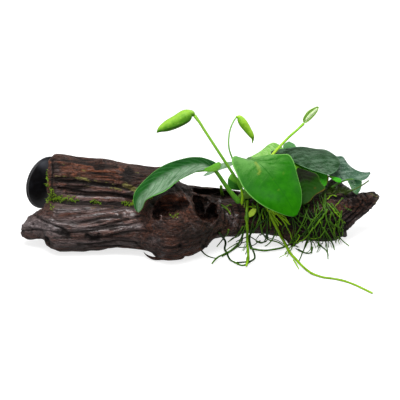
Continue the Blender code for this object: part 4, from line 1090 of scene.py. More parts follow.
leaves["leaf_front"] = {
    "midrib": ((249, 160, 17), (258, 163, 12), (270, 175, 1), (285, 196, -14), (296, 217, -22)),
    "far": ((258, 156.8, 22), (268, 155, 25), (280, 154.5, 26), (289, 155, 24), (294, 163, 17),
            (298, 178, 6), (301.5, 192, -4), (301, 205, -14)),
    "near": ((241, 158, 14), (234, 156.5, 10), (232, 162, 6), (236, 172, -2), (245, 190, -12),
             (262, 205, -19), (283, 214.5, -22)),
    "stalk": ((253, 193, 13), (252, 181, 19), (250, 168, 21)),
    "radius": 1.3, "slot": "leaf_green", "veins": 8, "sweep": 2.2, "quilt": 0.02,
    "brown": ((0.8, 0.35, (284, 173)), (0.9, 0.75, (255.5, 162.5), (258, 166.5), (260.5, 171.6)),
              (0.6, 0.5, (258.5, 173), (259, 174)), (0.55, 0.4, (274, 179)), (0.5, 0.4, (279, 190))),
    "look": {
        "deep": (0.007, 0.12, 0), "light": (0.02, 0.2, 0), "pale": (0.22, 0.51, 0.13),
        "rib": (0.01, 0.125, 0.002), "rim": (0.2, 0.5, 0.1), "under": (0.12, 0.36, 0.04),
        "veins": 8, "veinWidth": 0.06, "veinShow": 0.1, "veinEnd": (0.3, 0.6), "rimStart": 0.96,
        "ribWidth": 0.035, "ribShow": 0.7, "speckle": 0.04, "sheenShow": 0.9, "sheenEnd": (0, 0.5),
        "streakEdge": (0.25, 0.65), "streaks": 9, "gloss": 0.06, "scar": (0.36, 0.42, 0.06),
    },
}
leaves["leaf_back"] = {
    "midrib": ((285, 152, 49), (272, 152, 49), (260, 155, 44), (247, 158.6, 39)),
    "far": ((281, 146, 54), (274, 142.6, 58), (268, 145, 56), (260, 152, 49), (252, 157, 42)),
    "near": ((279, 159, 43), (268, 163, 39), (256, 161.5, 38)),
    "stalk": ((281, 192, 19), (282, 180, 33), (284, 165, 45)),
    "radius": 1.1, "slot": "leaf_light",
    "lobes": (
        {"midrib": ((246.5, 159, 38), (250, 158.3, 38), (255, 159, 39)), "far": ((250, 157.2, 40),),
         "near": ((250.5, 159.8, 37),), "pale": True, "veins": 3},
    ),
    "lobeLook": {"deep": (0.01, 0.1, 0.01), "light": (0.02, 0.16, 0.015), "under": (0.02, 0.16, 0.015)},
    "look": {
        "deep": (0.13, 0.38, 0.04), "light": (0.26, 0.55, 0.12), "pale": (0.5, 0.72, 0.32),
        "rib": (0.26, 0.55, 0.12), "rim": (0.4, 0.7, 0.22), "under": (0.2, 0.48, 0.08), "veinShow": 0.3,
        "sheenShow": 0.45, "rough": 0.42,
    },
}
leaves["leaf_back_small"] = {
    "midrib": ((289, 157, 58), (289, 149, 62), (289, 141.3, 66)),
    "far": ((283.5, 151, 61), (284, 144.5, 65)),
    "near": ((296, 150, 60), (294.5, 144.5, 64)),
    "stalk": ((289, 191, 20), (290, 182, 34), (290, 168, 50)),
    "radius": 1,
    "look": {
        "deep": (0.05, 0.21, 0.04), "light": (0.1, 0.32, 0.075), "pale": (0.2, 0.42, 0.2),
        "rib": (0.1, 0.3, 0.1), "rim": (0.2, 0.42, 0.2), "under": (0.06, 0.25, 0.06),
    },
}
leaves["leaf_right"] = {
    "midrib": ((271, 155, 37), (285, 155, 36), (300, 156, 33), (315, 159, 30), (330, 162, 27),
               (340, 163, 27)),
    "far": ((272, 151, 40), (285, 148.5, 45), (300, 147.3, 52), (315, 149.3, 55), (325, 150, 53),
            (332, 153.5, 46), (338, 158.5, 36)),
    "near": ((280, 159, 31), (293, 162, 26), (300, 165, 20), (310, 169, 15), (320, 172.3, 13),
             (328, 174.5, 14), (334, 172.5, 18), (338, 168.5, 22)),
    "stalk": ((268, 192, 18), (267, 180, 29), (268, 165, 37)),
    "radius": 1.3, "quilt": 0.16, "wave": 0.8,
    "look": {
        "deep": (0.007, 0.031, 0.007), "light": (0.018, 0.068, 0.02), "pale": (0.14, 0.24, 0.15),
        "rib": (0.02, 0.07, 0.03), "rim": (0.12, 0.25, 0.13), "under": (0.1, 0.36, 0.02),
        "speckle": 0.22, "veinShow": 0.12, "sheenShow": 0.5, "ribShow": 0.2, "grain": (0.3, 0.7, 1),
    },
}
leaves["leaf_far_right"] = {
    "midrib": ((322, 166, 38), (335, 167.5, 35), (346, 171.5, 31), (358, 175, 29), (371, 172.5, 30)),
    "far": ((330, 158, 44), (338, 156.5, 46), (343, 157, 45), (347, 163, 41), (351, 167, 38),
            (358, 171, 34), (366, 173, 31)),
    "near": ((326, 173, 29), (332, 176.5, 26), (342, 180, 23), (352, 180.3, 22), (361, 180.5, 23),
             (367, 178, 26)),
    "stalk": ((306, 190, 19), (309, 182, 33), (314, 172, 41)),
    "radius": 1.1, "wave": 0.8, "quilt": 0.16,
    "look": {
        "deep": (0.018, 0.06, 0.03), "light": (0.05, 0.13, 0.07), "pale": (0.24, 0.35, 0.27),
        "rib": (0.05, 0.14, 0.07), "rim": (0.12, 0.25, 0.15), "under": (0.04, 0.16, 0.05),
        "speckle": 0.4, "sheenShow": 0.6, "ribShow": 0.2, "veinShow": 0.12, "grain": (0.3, 0.7, 1),
    },
}
leaves["leaf_low"] = {
    "midrib": ((297, 167.5, 16), (304, 180, 10), (307, 193, 4), (303, 205, -3)),
    "far": ((308, 170.5, 15), (317.5, 174.5, 12), (320.5, 182, 9), (325, 189, 5), (315, 195, 2), (310, 201, -1)),
    "near": ((296, 178, 11), (294, 190, 5), (297, 200, 0)),
    "stalk": ((298, 190, 18), (300, 182, 20), (301, 175, 18)),
    "radius": 1,
    "brown": ((0.6, 0.8, (325.5, 189), (315, 195.5), (310, 201.5), (303, 206)), (1, 0.4, (315, 188))),
    # the blade darkens to near black towards its foot: painted shadow under the leaves above it
    "look": {
        "deep": (0.007, 0.008, 0.003), "light": (0.008, 0.055, 0), "pale": (0.04, 0.11, 0.01),
        "ramp": 2.6, "fade": -0.75, "ribShow": 0.25, "veinShow": 0.08,
        "rib": (0.015, 0.07, 0.008), "rim": (0.05, 0.13, 0.015), "under": (0.03, 0.12, 0.012), "rough": 0.5,
        "gloss": 0.06, "speckle": 0.04, "sheenShow": 0.1,
    },
}
leaves["leaf_low_small"] = {
    "midrib": ((280, 158, 30), (294, 164, 27), (307, 169.5, 23), (317, 176, 19), (323, 187.5, 14)),
    "far": ((292, 157.5, 31), (304, 161, 29), (316, 167.5, 25), (326, 173.5, 20), (328.5, 178, 18), (327, 184, 16)),
    "near": ((290, 166, 24), (300, 172.5, 21), (310, 179, 18), (317, 186, 15)),
    "stalk": ((294, 190.5, 20), (293, 182, 25), (291, 170, 30)),
    "radius": 0.9, "slot": "leaf_light",
    "brown": ((0.8, 0.9, (328, 177), (327.5, 184)),),
    "look": {
        "deep": (0.2, 0.5, 0.02), "light": (0.042, 0.43, 0.01), "pale": (0.12, 0.5, 0.03),
        "rib": (0.06, 0.3, 0.02), "rim": (0.12, 0.4, 0.03), "under": (0.05, 0.25, 0.01), "ramp": 1.6, "fade": -0.5,
    },
}
leaves["leaf_low_tip"] = {
    "midrib": ((328, 175.5, 23), (335, 178.5, 19), (341, 182.5, 17)),
    "far": ((334, 176.5, 22), (341, 179, 19)),
    "near": ((330, 177.5, 20), (336, 181.5, 17)),
    "stalk": ((310, 190, 25), (316, 184, 27), (323, 178, 26)),
    "radius": 0.7, "slot": "leaf_light", "look": {**leaves["leaf_low_small"]["look"], "ramp": 0.35, "fade": 0.2},
    "stem": ((0.05, 0.03, 0.01), (0.09, 0.07, 0.015)),
}
leaves["leaf_curled"] = {
    "midrib": ((354, 179.3, 17), (355.5, 184, 16), (357, 194.5, 11)),
    "far": ((361, 180.5, 18), (361.5, 184.5, 16), (360, 190, 13)),
    "near": ((348, 180.5, 17), (350, 185, 15), (353, 191, 12)),
    "stalk": ((332, 187, 20), (340, 182.5, 22), (348, 179.5, 21)),
    "radius": 0.7,
    "look": {
        "deep": (0.006, 0.05, 0.014), "light": (0.05, 0.17, 0.06), "pale": (0.26, 0.4, 0.26),
        "rib": (0.09, 0.25, 0.09), "rim": (0.22, 0.45, 0.16), "under": (0.05, 0.19, 0.03), "sheenShow": 0.6,
        "sheen": (-0.2, 0.2, 0.8, 1), "fade": 0.1,
    },
}
leaves["leaf_inner"] = {
    "midrib": ((243, 190, 14), (236, 183, 13), (228, 178.5, 13)),
    "far": ((240.5, 182, 16), (235.5, 176.5, 17), (231, 174.5, 16)),
    "near": ((237, 190, 12), (231, 188.8, 11), (228, 184.5, 12)),
    "stalk": ((250, 193, 15), (246, 191.5, 14.5)),
    "radius": 0.8,
    "look": {
        "deep": (0.012, 0.11, 0.008), "light": (0.04, 0.22, 0.02), "pale": (0.2, 0.56, 0.05),
        "rib": (0.14, 0.42, 0.06), "rim": (0.2, 0.52, 0.06), "under": (0.1, 0.36, 0.03),
        "sheen": (-1.1, -1, -0.1, 0.25), "sheenShow": 0.95, "streakEdge": (0.1, 0.5), "ribShow": 0.2,
        "sheenEnd": (1, 1.5),
    },
}
leaves["leaf_edge_on"] = {
    "midrib": ((235, 163, 30), (225, 165.5, 29), (214, 171, 27), (203, 176, 26)),
    "far": ((229, 162, 33), (219, 164.5, 32), (209, 171, 29)),
    "near": ((229, 167, 27), (219, 170.5, 25), (209, 175, 24)),
    "stalk": ((256, 191.5, 20), (250, 183, 26), (243, 171, 30)),
    "radius": 0.8,
    "look": {
        "deep": (0.1, 0.22, 0.08), "light": (0.2, 0.38, 0.2), "pale": (0.42, 0.56, 0.4), "sheenShow": 0.6,
        "rib": (0.3, 0.45, 0.36), "rim": (0.35, 0.5, 0.42), "under": (0.2, 0.36, 0.26), "speckle": 0.4,
    },
}
leaves["leaflet"] = {
    "midrib": ((247.2, 218, -1), (251.6, 213.1, -0.9), (256.3, 208.8, 1.2)),
    "far": ((248.9, 212.6, -0.4), (252.4, 208.9, 1)),
    "near": ((252.9, 215.6, -2), (255.6, 212.2, -0.8)),
    "slot": "leaf_light", "wave": 0.3,
    # the leaflet glows faintly in its own colour: painted light that lifts it out of shade
    "look": {
        "deep": (0.22, 0.4, 0.01), "light": (0.42, 0.62, 0.04), "pale": (0.6, 0.8, 0.16), "rib": (0.52, 0.7, 0.08),
        "rim": (0.3, 0.5, 0.03), "under": (0.2, 0.36, 0.02), "veins": 3, "fade": 0.1, "shine": 0.15,
    },
}
for leafName, leafSpec in leaves.items():
    makeLeaf(leafName, leafSpec)
print("leaves:", len(leaves))

# rhizome: a creeping stem with leaf scars round it
rhizome = {
    "knots": ((241, 197, 7, 2.6), (247, 194.5, 9, 3.6), (258, 193, 11, 4), (272, 192.5, 12, 4),
              (286, 192.5, 13, 3.8), (300, 191.5, 14, 3.4), (312, 190, 16, 2.4)),
    # the stem's points and sides, how far out it lies, and the scars round it: count, depth and width
    "points": 90, "sides": 22, "lift": 0.85, "smoothing": 3, "scars": (13, 0.09, 0.1),
    # a slight twist in its section: depth, corners and turn
    "twist": (0.05, 3, 9), "colours": ((0.1, 0.22, 0.02), (0.05, 0.15, 0.015), (0.12, 0.09, 0.03)),
}


def makeRhizome():
    path, radii = knotPath(rhizome["knots"], rhizome["points"])
    path = smoothed(offWood(path, radii * rhizome["lift"]), rhizome["smoothing"])
    scars, depth, wide = rhizome["scars"]
    radii = radii * (1 - depth * bell(np.abs(np.linspace(0, scars, len(path)) % 1 - 0.5) / wide))
    twist, corners, speed = rhizome["twist"]
    rings = tubeRings(path, radii, rhizome["sides"],
                      lambda share, turn: 1 + twist * np.sin(corners * turn + speed * share))
    shape = Shape("along")
    shape.add(loft(rings), along=perRing(rings))
    shape.build("rhizome_stem", [stalkMaterial("rhizome_skin", *rhizome["colours"])], ["rhizome"])


makeRhizome()

# flower stalks: column, row, depth and radius in millimetres, then the colours of foot and head
stalks = {
    "peduncle_left": {
        "knots": ((243, 192, 10, 1.2), (240, 187, 8, 1.2), (235, 177, 6, 1.2), (220, 154, 2, 1.15),
                  (205, 131, 0, 1.1), (200, 123, -1, 1.15), (194.9, 116.1, -1, 1.4)),
        "colours": ((0.13, 0.44, 0.02), (0.34, 0.72, 0.06), (0.45, 0.76, 0.16)),
    },
    "peduncle_middle": {
        "knots": ((248, 190.5, 19, 0.75), (240, 177, 19, 0.75), (233, 160, 14, 0.72), (229.2, 149, 11, 0.68),
                  (228.7, 139, 10, 0.65), (230.3, 129, 9, 0.65), (233.6, 121.3, 8, 0.65), (236.1, 117.6, 8, 0.65)),
        "colours": ((0.2, 0.52, 0.08), (0.36, 0.74, 0.18), (0.45, 0.8, 0.25)),
    },
    "peduncle_right": {
        "knots": ((262, 190.5, 17, 1.15), (264, 178, 24, 1.15), (269, 160, 31, 1.15), (274, 153, 33, 1.15),
                  (288, 138, 34, 1.05), (297, 130, 34, 1), (303.3, 124, 35.5, 1.1)),
        "colours": ((0.72, 0.9, 0.07), (0.32, 0.7, 0.04), (0.62, 0.88, 0.2)),
    },
}

stalkMesh = {"points": 80, "sides": 14}


def makeStalk(name, stalk):
    path, radii = knotPath(stalk["knots"], stalkMesh["points"])
    rings = tubeRings(offWood(path, radii), radii, stalkMesh["sides"])
    shape = Shape("along")
    shape.add(loft(rings), along=perRing(rings))
    shape.build(f"{name}_stem", [stalkMaterial(f"{name}_skin", *stalk["colours"])], [name])


for stalkName, stalkSpec in stalks.items():
    makeStalk(stalkName, stalkSpec)

# closed flower heads: a rolled leaf whose free edge shows as a seam
spathes = {
    "spathe_left": {
        "knots": ((194.2, 115.3, -1, 1.2), (191.5, 114, -1, 3.2), (186, 116, -2, 5.3), (177.5, 121, -3, 5.2),
                  (168, 125.6, -4, 4.5), (161, 129, -5, 2.7), (157, 132.3, -5, 0.5)),
        "seam": 2.2, "colours": ((0.08, 0.3, 0.01), (0.23, 0.52, 0.03), (0.4, 0.68, 0.08)),
    },
    "spathe_middle": {
        "knots": ((236.8, 116.6, 8, 0.8), (239.5, 118, 8, 2.4), (243, 123, 7, 3.4), (247.5, 129.5, 6, 2.9),
                  (251.5, 135.5, 5, 2.1), (252.8, 139, 5, 1), (252.2, 143.3, 5, 0.3)),
        "seam": 3.6, "colours": ((0.17, 0.45, 0.01), (0.41, 0.72, 0.05), (0.55, 0.85, 0.1)),
    },
}

# the heads' mesh, how far the seam turns on its way up, the lap's lip and furrow as place, width and height, the fine
# ribs' height and count, the width of the painted shadow in the seam's furrow, and the colours of that shadow and of
# the withered tip
spatheMesh = {
    "points": 64, "sides": 40, "turn": 0.9, "lip": (0.18, 0.16, 0.10), "furrow": (-0.1, 0.1, 0.16),
    "ribs": (0.02, 11), "shadow": 0.14, "seam": (0.02, 0.07, 0.006), "tip": (0.09, 0.11, 0.015),
    "bumps": 0.00025, "gloss": 0.22,
}


def spatheMaterial(name, colours):
    deep, light, pale = colours
    graph = Graph(name)
    top = graph.value("top")
    lines = graph.noise(0.9, (0.5, 1, 0.5), 3.0)
    blotch = graph.noise(4, detail=3.0)
    colour = graph.coated(
        deep,
        # painted light: the upper side of each head lighter and paler
        (graph.step(0.6 * blotch + 0.5 * top, 0.3, 0.85), light),
        (0.4 * graph.step(lines, 0.5, 0.72), pale),
        (0.5 * graph.step(top, 0.7, 1.0), pale),
        # painted shadow along the furrow under the lap
        (0.8 * graph.value("seam"), spatheMesh["seam"]),
        (0.8 * graph.step(graph.value("along"), 0.9, 1.0), spatheMesh["tip"]),
    )
    return graph.finish(lines + blotch, spatheMesh["bumps"], colour=colour, rough=0.4 + 0.1 * blotch,
                        gloss=spatheMesh["gloss"])


def makeSpathe(name, spathe):
    path, radii = knotPath(spathe["knots"], spatheMesh["points"])
    lip, lipWidth, lipHeight = spatheMesh["lip"]
    furrow, furrowWidth, furrowDepth = spatheMesh["furrow"]
    ribHeight, ribs = spatheMesh["ribs"]

    def offSeam(share, turn):
        return (turn - spathe["seam"] - spatheMesh["turn"] * share + math.pi) % (2 * math.pi) - math.pi

    def section(share, turn):
        off = offSeam(share, turn)
        lap = lipHeight * bell((off - lip) / lipWidth) - furrowDepth * bell((off - furrow) / furrowWidth)
        return 1 + (lap + ribHeight * np.cos(ribs * turn)) * math.sin(math.pi * min(1, 1.4 * share)) ** 0.5

    rings = tubeRings(path, radii, spatheMesh["sides"], section)
    share = np.linspace(0, 1, len(rings))[:, None]
    off = offSeam(share, circle(spatheMesh["sides"]))
    # the painted shadow in the furrow under the lap, fading towards both ends
    seam = bell((off - furrow) / spatheMesh["shadow"]) * np.sin(math.pi * share)
    # how far each point faces up, for the painted light on the upper side
    top = soft(unit(rings - rings.mean(axis=1, keepdims=True))[..., 2], -0.3, 1.0)
    shape = Shape("along", "seam", "top")
    shape.add(loft(rings), along=perRing(rings), seam=np.append(seam, (0, 0)), top=np.append(top, (0, 0)))
    shape.build(f"{name}_head", [spatheMaterial(f"{name}_skin", spathe["colours"])], [name])


for spatheName, spatheSpec in spathes.items():
    makeSpathe(spatheName, spatheSpec)

# open flower head: a hooded leaf with its spike inside
openSpathe = {
    "midrib": ((304, 123.3, 36), (307, 118, 38), (312, 113, 38), (319, 107, 35)),
    "far": ((303, 119, 34), (307, 112.2, 34), (312, 108.7, 34), (317, 106.6, 34)),
    "near": ((307.5, 122, 33), (312.5, 117.5, 33), (317, 112, 33)),
    "quilt": 0.03, "wave": 0.1, "veins": 3, "sweep": 0.5, "mesh": (40, 25),
    "look": {
        "deep": (0.34, 0.56, 0.1), "light": (0.48, 0.72, 0.18), "pale": (0.66, 0.84, 0.46),
        "rib": (0.4, 0.62, 0.2), "rim": (0.46, 0.68, 0.2), "under": (0.4, 0.64, 0.14), "rimStart": 0.8,
        "speckle": 0.1, "sheen": (-0.45, -0.15, 0.55, 0.8), "sheenShow": 0.95, "streakEdge": (0.1, 0.4),
        # the hood glows faintly in its own colour: painted light
        "shine": 0.12,
    },
}
# the spike in the open flower: its mesh, and beads in turning rows, each of four rings of height and width
spike = {
    "knots": ((306.5, 119.5, 33.5, 0.6), (309, 116.5, 32.6, 1.05), (313.5, 112, 32.6, 0.95), (317, 109, 33, 0.5)),
    "points": 34, "core": (0.85, 16), "lattice": (0.9, 64), "beads": 150, "beadSize": 0.00042, "beadSides": 7,
    "bead": ((-0.3, 0.9), (0.25, 0.85), (0.6, 0.55), (0.75, 0.15)), "ends": (3, 4), "across": (0.2, 0.9, 0.1),
    # the beads' colours, and a faint glow in their own colour: painted light
    "deep": (0.6, 0.78, 0.4), "pale": (0.84, 0.95, 0.66), "bumps": 0.0001, "rough": 0.45, "shine": 0.1,
}


def makeOpenFlower():
    shape = Shape("along", "across", "upper", "brown")
    addBlade(shape, openSpathe, *openSpathe["mesh"])
    shape.build("spathe_right_hood", [leafMaterial("hood", openSpathe["look"])], ["spathe_right"])
    path, radii = knotPath(spike["knots"], spike["points"])
    wide, sides = spike["core"]
    cone = Shape()
    cone.add(loft(tubeRings(path, radii * wide, sides)))
    wide, sides = spike["lattice"]
    rings = tubeRings(path, radii * wide, sides)
    golden = math.pi * (3 - math.sqrt(5))
    first, last = spike["ends"]
    for k in range(spike["beads"]):
        ring = rings[first + int(k / spike["beads"] * (len(rings) - first - last))]
        spot = ring[int(k * golden / (2 * math.pi) * sides) % sides]
        out = unit(spot - ring.mean(axis=0))
        side = unit(np.cross(out, spike["across"]))
        wheel = around(circle(spike["beadSides"]), side, np.cross(out, side))
        cone.add(loft(np.array([spot + (out * rise + wheel * reach) * spike["beadSize"]
                                for rise, reach in spike["bead"]])))
    graph = Graph("spike_beads")
    dots = graph.noise(0.6, detail=2.0)
    colour = graph.mix(dots, spike["deep"], spike["pale"])
    material = graph.finish(dots, spike["bumps"], colour=colour, rough=spike["rough"], light=colour,
                            shine=spike["shine"])
    cone.build("spike", [material], ["spadix"])


makeOpenFlower()
print("flowers: two closed, one open")

# roots: courses in column and row, with a depth where a root hangs free between wood and ground, and with
# "ground" where it lies on the ground although wood shows there
roots = (
    ((247.5, 203), (246, 215), (247, 228), (247.5, 240, 2), (248, 250), (248, 258), (246.5, 265.5)),
    ((263, 202), (270, 215), (277, 228), (283, 240, 4), (290, 253), (296, 260), (308, 271), (322, 277.3),
     (337, 279), (355, 285), (372, 293)),
    ((293.5, 260), (296, 264.5), (299, 269)),
    ((243, 230), (241, 239, 5), (235, 247.5), (225, 254), (217, 258), (212, 263.5)),
    ((201.3, 250.3, "ground"), (204, 253.6), (208, 256), (212, 257.6), (217, 258.4)),
    ((219, 231), (225, 241, 4), (224.5, 247.5), (226, 252), (230, 259.5), (237, 263.5)),
    ((266, 219.5), (260, 222.5), (254, 228), (250.5, 234, 3), (249.5, 240, 2.5), (250.7, 246, 2), (253, 251),
     (254.7, 256), (254, 259), (250, 261.8), (243.5, 265.6), (237.5, 264)),
    ((227, 230), (224, 238, 6), (217, 246.5)),
    ((242, 226), (235, 234.5), (228, 242, 5)),
    ((267, 230), (266, 239, 5), (262, 243, 3), (256, 241.5, 4)),
    ((251, 248.6), (259, 250), (266, 250.3), (275, 249), (284, 246.8), (290, 244, "ground")),
    ((309, 232), (306, 243, 5), (303, 252), (298.5, 262)),
    ((298, 249.5), (306, 253), (311, 252), (313, 247)),
    ((273, 211), (283, 221), (289, 230), (292.5, 236.5, 2)),
    ((275, 234, 4), (271, 242, 3), (265, 247, 5)),
    ((317, 203), (321, 222), (325, 238, 4), (327, 250), (328, 259)),
    ((326, 195), (324, 208), (327, 221), (333, 234), (336, 243)),
    ((331, 205), (338, 215), (337, 227), (340, 238, 8), (349, 246)),
    ((304, 206), (311, 220), (316, 232), (319, 242, 0), (317, 247)),
    ((303, 233), (308, 227), (315, 218), (322, 211)),
    ((309, 205), (304, 220), (296, 233), (290, 243, -2)),
    ((323, 228), (330, 238, -2), (333, 244.5), (334.5, 249.5)),
    ((263, 209), (258, 221), (253, 231)),
)
rootLook = {
    # radii at start and end in millimetres, and tones from dark 0 to yellow 1 further down
    "radii": {0: (1.2, 1.0), 1: (1.28, 0.84), 3: (0.95, 0.65), 5: (0.9, 0.75), 6: (0.8, 0.75), 10: (0.85, 0.75)},
    "thin": (0.68, 0.42), "over": 0.0012, "step": 0.0011, "sides": 10, "seed": 20, "shootSeed": 60,
    # wander: size and reach in metres; unevenness: size in metres and share of the radius
    "wander": (0.009, 0.0005), "uneven": (0.003, 0.10), "lift": 0.9, "smoothing": 2,
    # how much paler the last fifth is, and how much darker a swelling
    "tip": (0.8, 0.35), "shade": 0.45, "bumps": 0.00012, "gloss": 0.25,
    # swellings: column, row, reach in pixels and share of the radius
    "swell": {0: ((246.3, 217.5, 2.6, 0.75), (248, 259, 2.2, 0.4))},
    "tones": (0.75, 0.8, 0.95, 0.3, 0.2, 0.1, 0.15, 0.6, 0.55, 0.2, 0.35, 0.25, 0.2, 0.8, 0.45, 0.3, 0.35, 0.4,
              0.3, 0.5, 0.45, 0.35, 0.5),
}
shoots = {
    "sprout": {"knots": ((222.5, 198), (222, 193, 22), (221, 186.5, 21)), "radii": (1.4, 1.2), "tone": 0.4},
    "shoot": {"knots": ((242, 203, 0), (242.5, 196, -1), (241, 190, 0)), "radii": (1.2, 0.7), "tone": 0.9},
    "twig": {"knots": ((345.5, 192), (350.5, 190.8, 8), (358, 187.5, 6), (364, 184, 6), (368.5, 180.8, 7)),
             "radii": (0.65, 0.6), "tone": 0.3},
}


def layRoot(shape, knots, radii, tone, seed, swell=()):
    # a root on the wood and the ground, with a slight wander and a swelling here and there
    start, end = (radius / 1000 for radius in radii)
    points = [lie(start + rootLook["over"], *knot) for knot in knots]
    length = np.linalg.norm(np.diff(points, axis=0), axis=1).sum()
    path = through(points, max(6, round(length / rootLook["step"])))
    size, reach = rootLook["wander"]
    share = np.linspace(0, 1, len(path))
    uneven, amount = rootLook["uneven"]
    radius = np.interp(share, (0, 1), (start, end)) * (1 + amount * noiseAt(path, uneven, seed))
    path = path + drift(path, size, seed, reach) * np.sin(math.pi * share)[:, None]
    path = offWood(path, radius * rootLook["lift"])
    swollen = np.zeros(len(path))
    for column, row, wide, more in swell:
        off = np.linalg.norm(seenAt(path) - (column, row), axis=1)
        swollen = np.maximum(swollen, more * bell(off / wide))
    rings = tubeRings(smoothed(path, rootLook["smoothing"]), radius * (1 + swollen), rootLook["sides"])
    grown = np.linspace(0, 1, len(rings))
    turning, paler = rootLook["tip"]
    tones = np.interp(grown, (0, turning, 1), (tone, tone, min(1, tone + paler)))
    tones -= rootLook["shade"] * np.interp(grown, share, swollen)
    shape.add(loft(rings), tone=perRing(rings, tones, (tone, tone)))


def rootMaterial(name, dark, middle, bright):
    graph = Graph(name)
    tone = graph.value("tone")
    skin = graph.noise(1.2, detail=3.0, rough=0.6)
    blotch = graph.noise(7, detail=2.0)
    shade = tone + 0.35 * (blotch - 0.5) + 0.15 * (skin - 0.5)
    colour = graph.coated(dark, (graph.step(shade, 0.05, 0.5), middle), (graph.step(shade, 0.5, 0.95), bright))
    return graph.finish(skin, rootLook["bumps"], colour=colour, rough=0.36 + 0.15 * skin, gloss=rootLook["gloss"])


rootSkin = rootMaterial("root_skin", (0.011, 0.04, 0.005), (0.075, 0.20, 0.006), (0.31, 0.58, 0.01))
twigSkin = rootMaterial("twig_skin", (0.04, 0.09, 0.015), (0.10, 0.17, 0.03), (0.2, 0.24, 0.05))


def makeRoots():
    pieces = [(f"root_{number + 1}", f"root_strand_{number + 1}", knots,
               rootLook["radii"].get(number, rootLook["thin"]), rootLook["tones"][number],
               rootLook["seed"] + number, rootLook["swell"].get(number, ()))
              for number, knots in enumerate(roots)]
    pieces += [(name, f"{name}_strand", spec["knots"], spec["radii"], spec["tone"], rootLook["shootSeed"], ())
               for name, spec in shoots.items()]
    for replaced, name, *course in pieces:
        shape = Shape("tone")
        layRoot(shape, *course)
        slot, skin = ("twig", twigSkin) if replaced == "twig" else ("root", rootSkin)
        shape.build(name, [skin], [replaced])


makeRoots()
print("roots:", len(roots))

# hair roots: each strand's radius in millimetres, its tone from dark 0 to yellow 1, then its course in columns and
# rows over the wood; past the wood's edge it hangs on down to the ground
hairs = {}
hairs["hair_roots_left"] = {
    "seed": 3, "share": 0.95, "anchors": (0.02, 0.6, 17),
    "strands": (
        (0.75, 0.45, (257, 203), (258.5, 212), (259.5, 219), (261, 226), (263, 232), (265, 237), (269, 240),
         (274, 241), (278.5, 242.5), (284, 246)), (0.65, 0.12, (270, 208), (269, 213), (267.5, 219)),
        (0.65, 0.08, (269, 209), (267.5, 217), (267.3, 226), (267.7, 234), (267.6, 239), (265, 242), (259, 242.3),
         (254.5, 239.5), (251, 237)),
        (0.55, 0.15, (257, 206), (256.5, 212), (254, 219), (251.5, 226), (249.5, 234), (249, 242), (250.5, 248)),
        (0.55, 0.35, (246, 224), (243, 229), (239.5, 233), (234, 237), (228, 242)),
        (0.5, 0.2, (246, 237), (241, 239), (236, 241.5)), (0.5, 0.15, (248, 241.5), (245, 242), (241.5, 243)),
        (0.45, 0.35, (247, 243), (245.5, 247), (243, 250.8)), (0.4, 0.1, (248, 247), (246.5, 251), (244.8, 254.5)),
        (0.5, 0.15, (260, 241), (257, 242.6), (254.5, 244.8), (251, 246)),
        (0.4, 0.1, (262, 232), (259, 236), (256.3, 239.5)),
        (0.6, 0.9, (269, 211), (269.8, 219), (270.3, 224), (271, 228.5)),
        (0.6, 0.8, (270, 211), (274, 218), (278.5, 224.5)), (0.6, 0.85, (271, 212), (276, 219), (281.5, 224)),
        (0.8, 0.95, (270, 210), (277, 215.5), (282, 218.5), (286, 221), (289.3, 223.3)),
        (0.6, 0.9, (272, 209), (279, 215), (284.5, 218), (288, 221.5)),
        (0.45, 0.9, (262, 210), (262.3, 216), (263.2, 221)), (0.45, 0.5, (269, 215), (267, 217), (264.8, 219.3)),
        (0.4, 0.2, (285, 224), (282.6, 229), (284, 233)), (0.4, 0.15, (288, 226), (286.5, 230), (287, 233)),
        (0.4, 0.15, (278, 226), (275, 230), (277, 234)), (0.45, 0.3, (264, 210), (265.5, 216), (270, 221)),
        (0.5, 0.35, (265, 207), (266, 214), (265.5, 222), (262, 229)),
        (0.4, 0.25, (255, 214), (253, 222), (254, 230)), (0.4, 0.2, (272, 220), (271, 227), (268, 234)),
        (0.45, 0.4, (274, 221), (277, 228), (276, 235)), (0.4, 0.3, (282, 213), (285, 219), (287, 226)),
        (0.5, 0.5, (252, 204), (256, 206.5), (260, 208)), (0.55, 0.75, (247, 206), (251.5, 208.5), (255.5, 207.5)),
        (0.45, 0.6, (241, 199), (240.5, 203), (241.5, 206)), (0.45, 0.6, (244, 199), (244.5, 203), (243.5, 207)),
        (0.4, 0.5, (222, 206.5), (226, 209), (231, 213)), (0.35, 0.5, (226, 208), (229, 206.5), (232, 205)),
        (0.4, 0.3, (254, 200), (252.5, 207), (253.5, 213)), (0.5, 0.3, (236, 246), (240, 247.3), (246, 247)),
        (0.45, 0.6, (237, 243), (231, 247), (226, 250.5)),
        (0.55, 0.25, (243, 238), (240, 244.5), (231, 251.5), (222, 257)),
        (0.5, 0.05, (237, 262.3), (243, 262), (250, 261.3), (254.5, 259)),
    ),
}
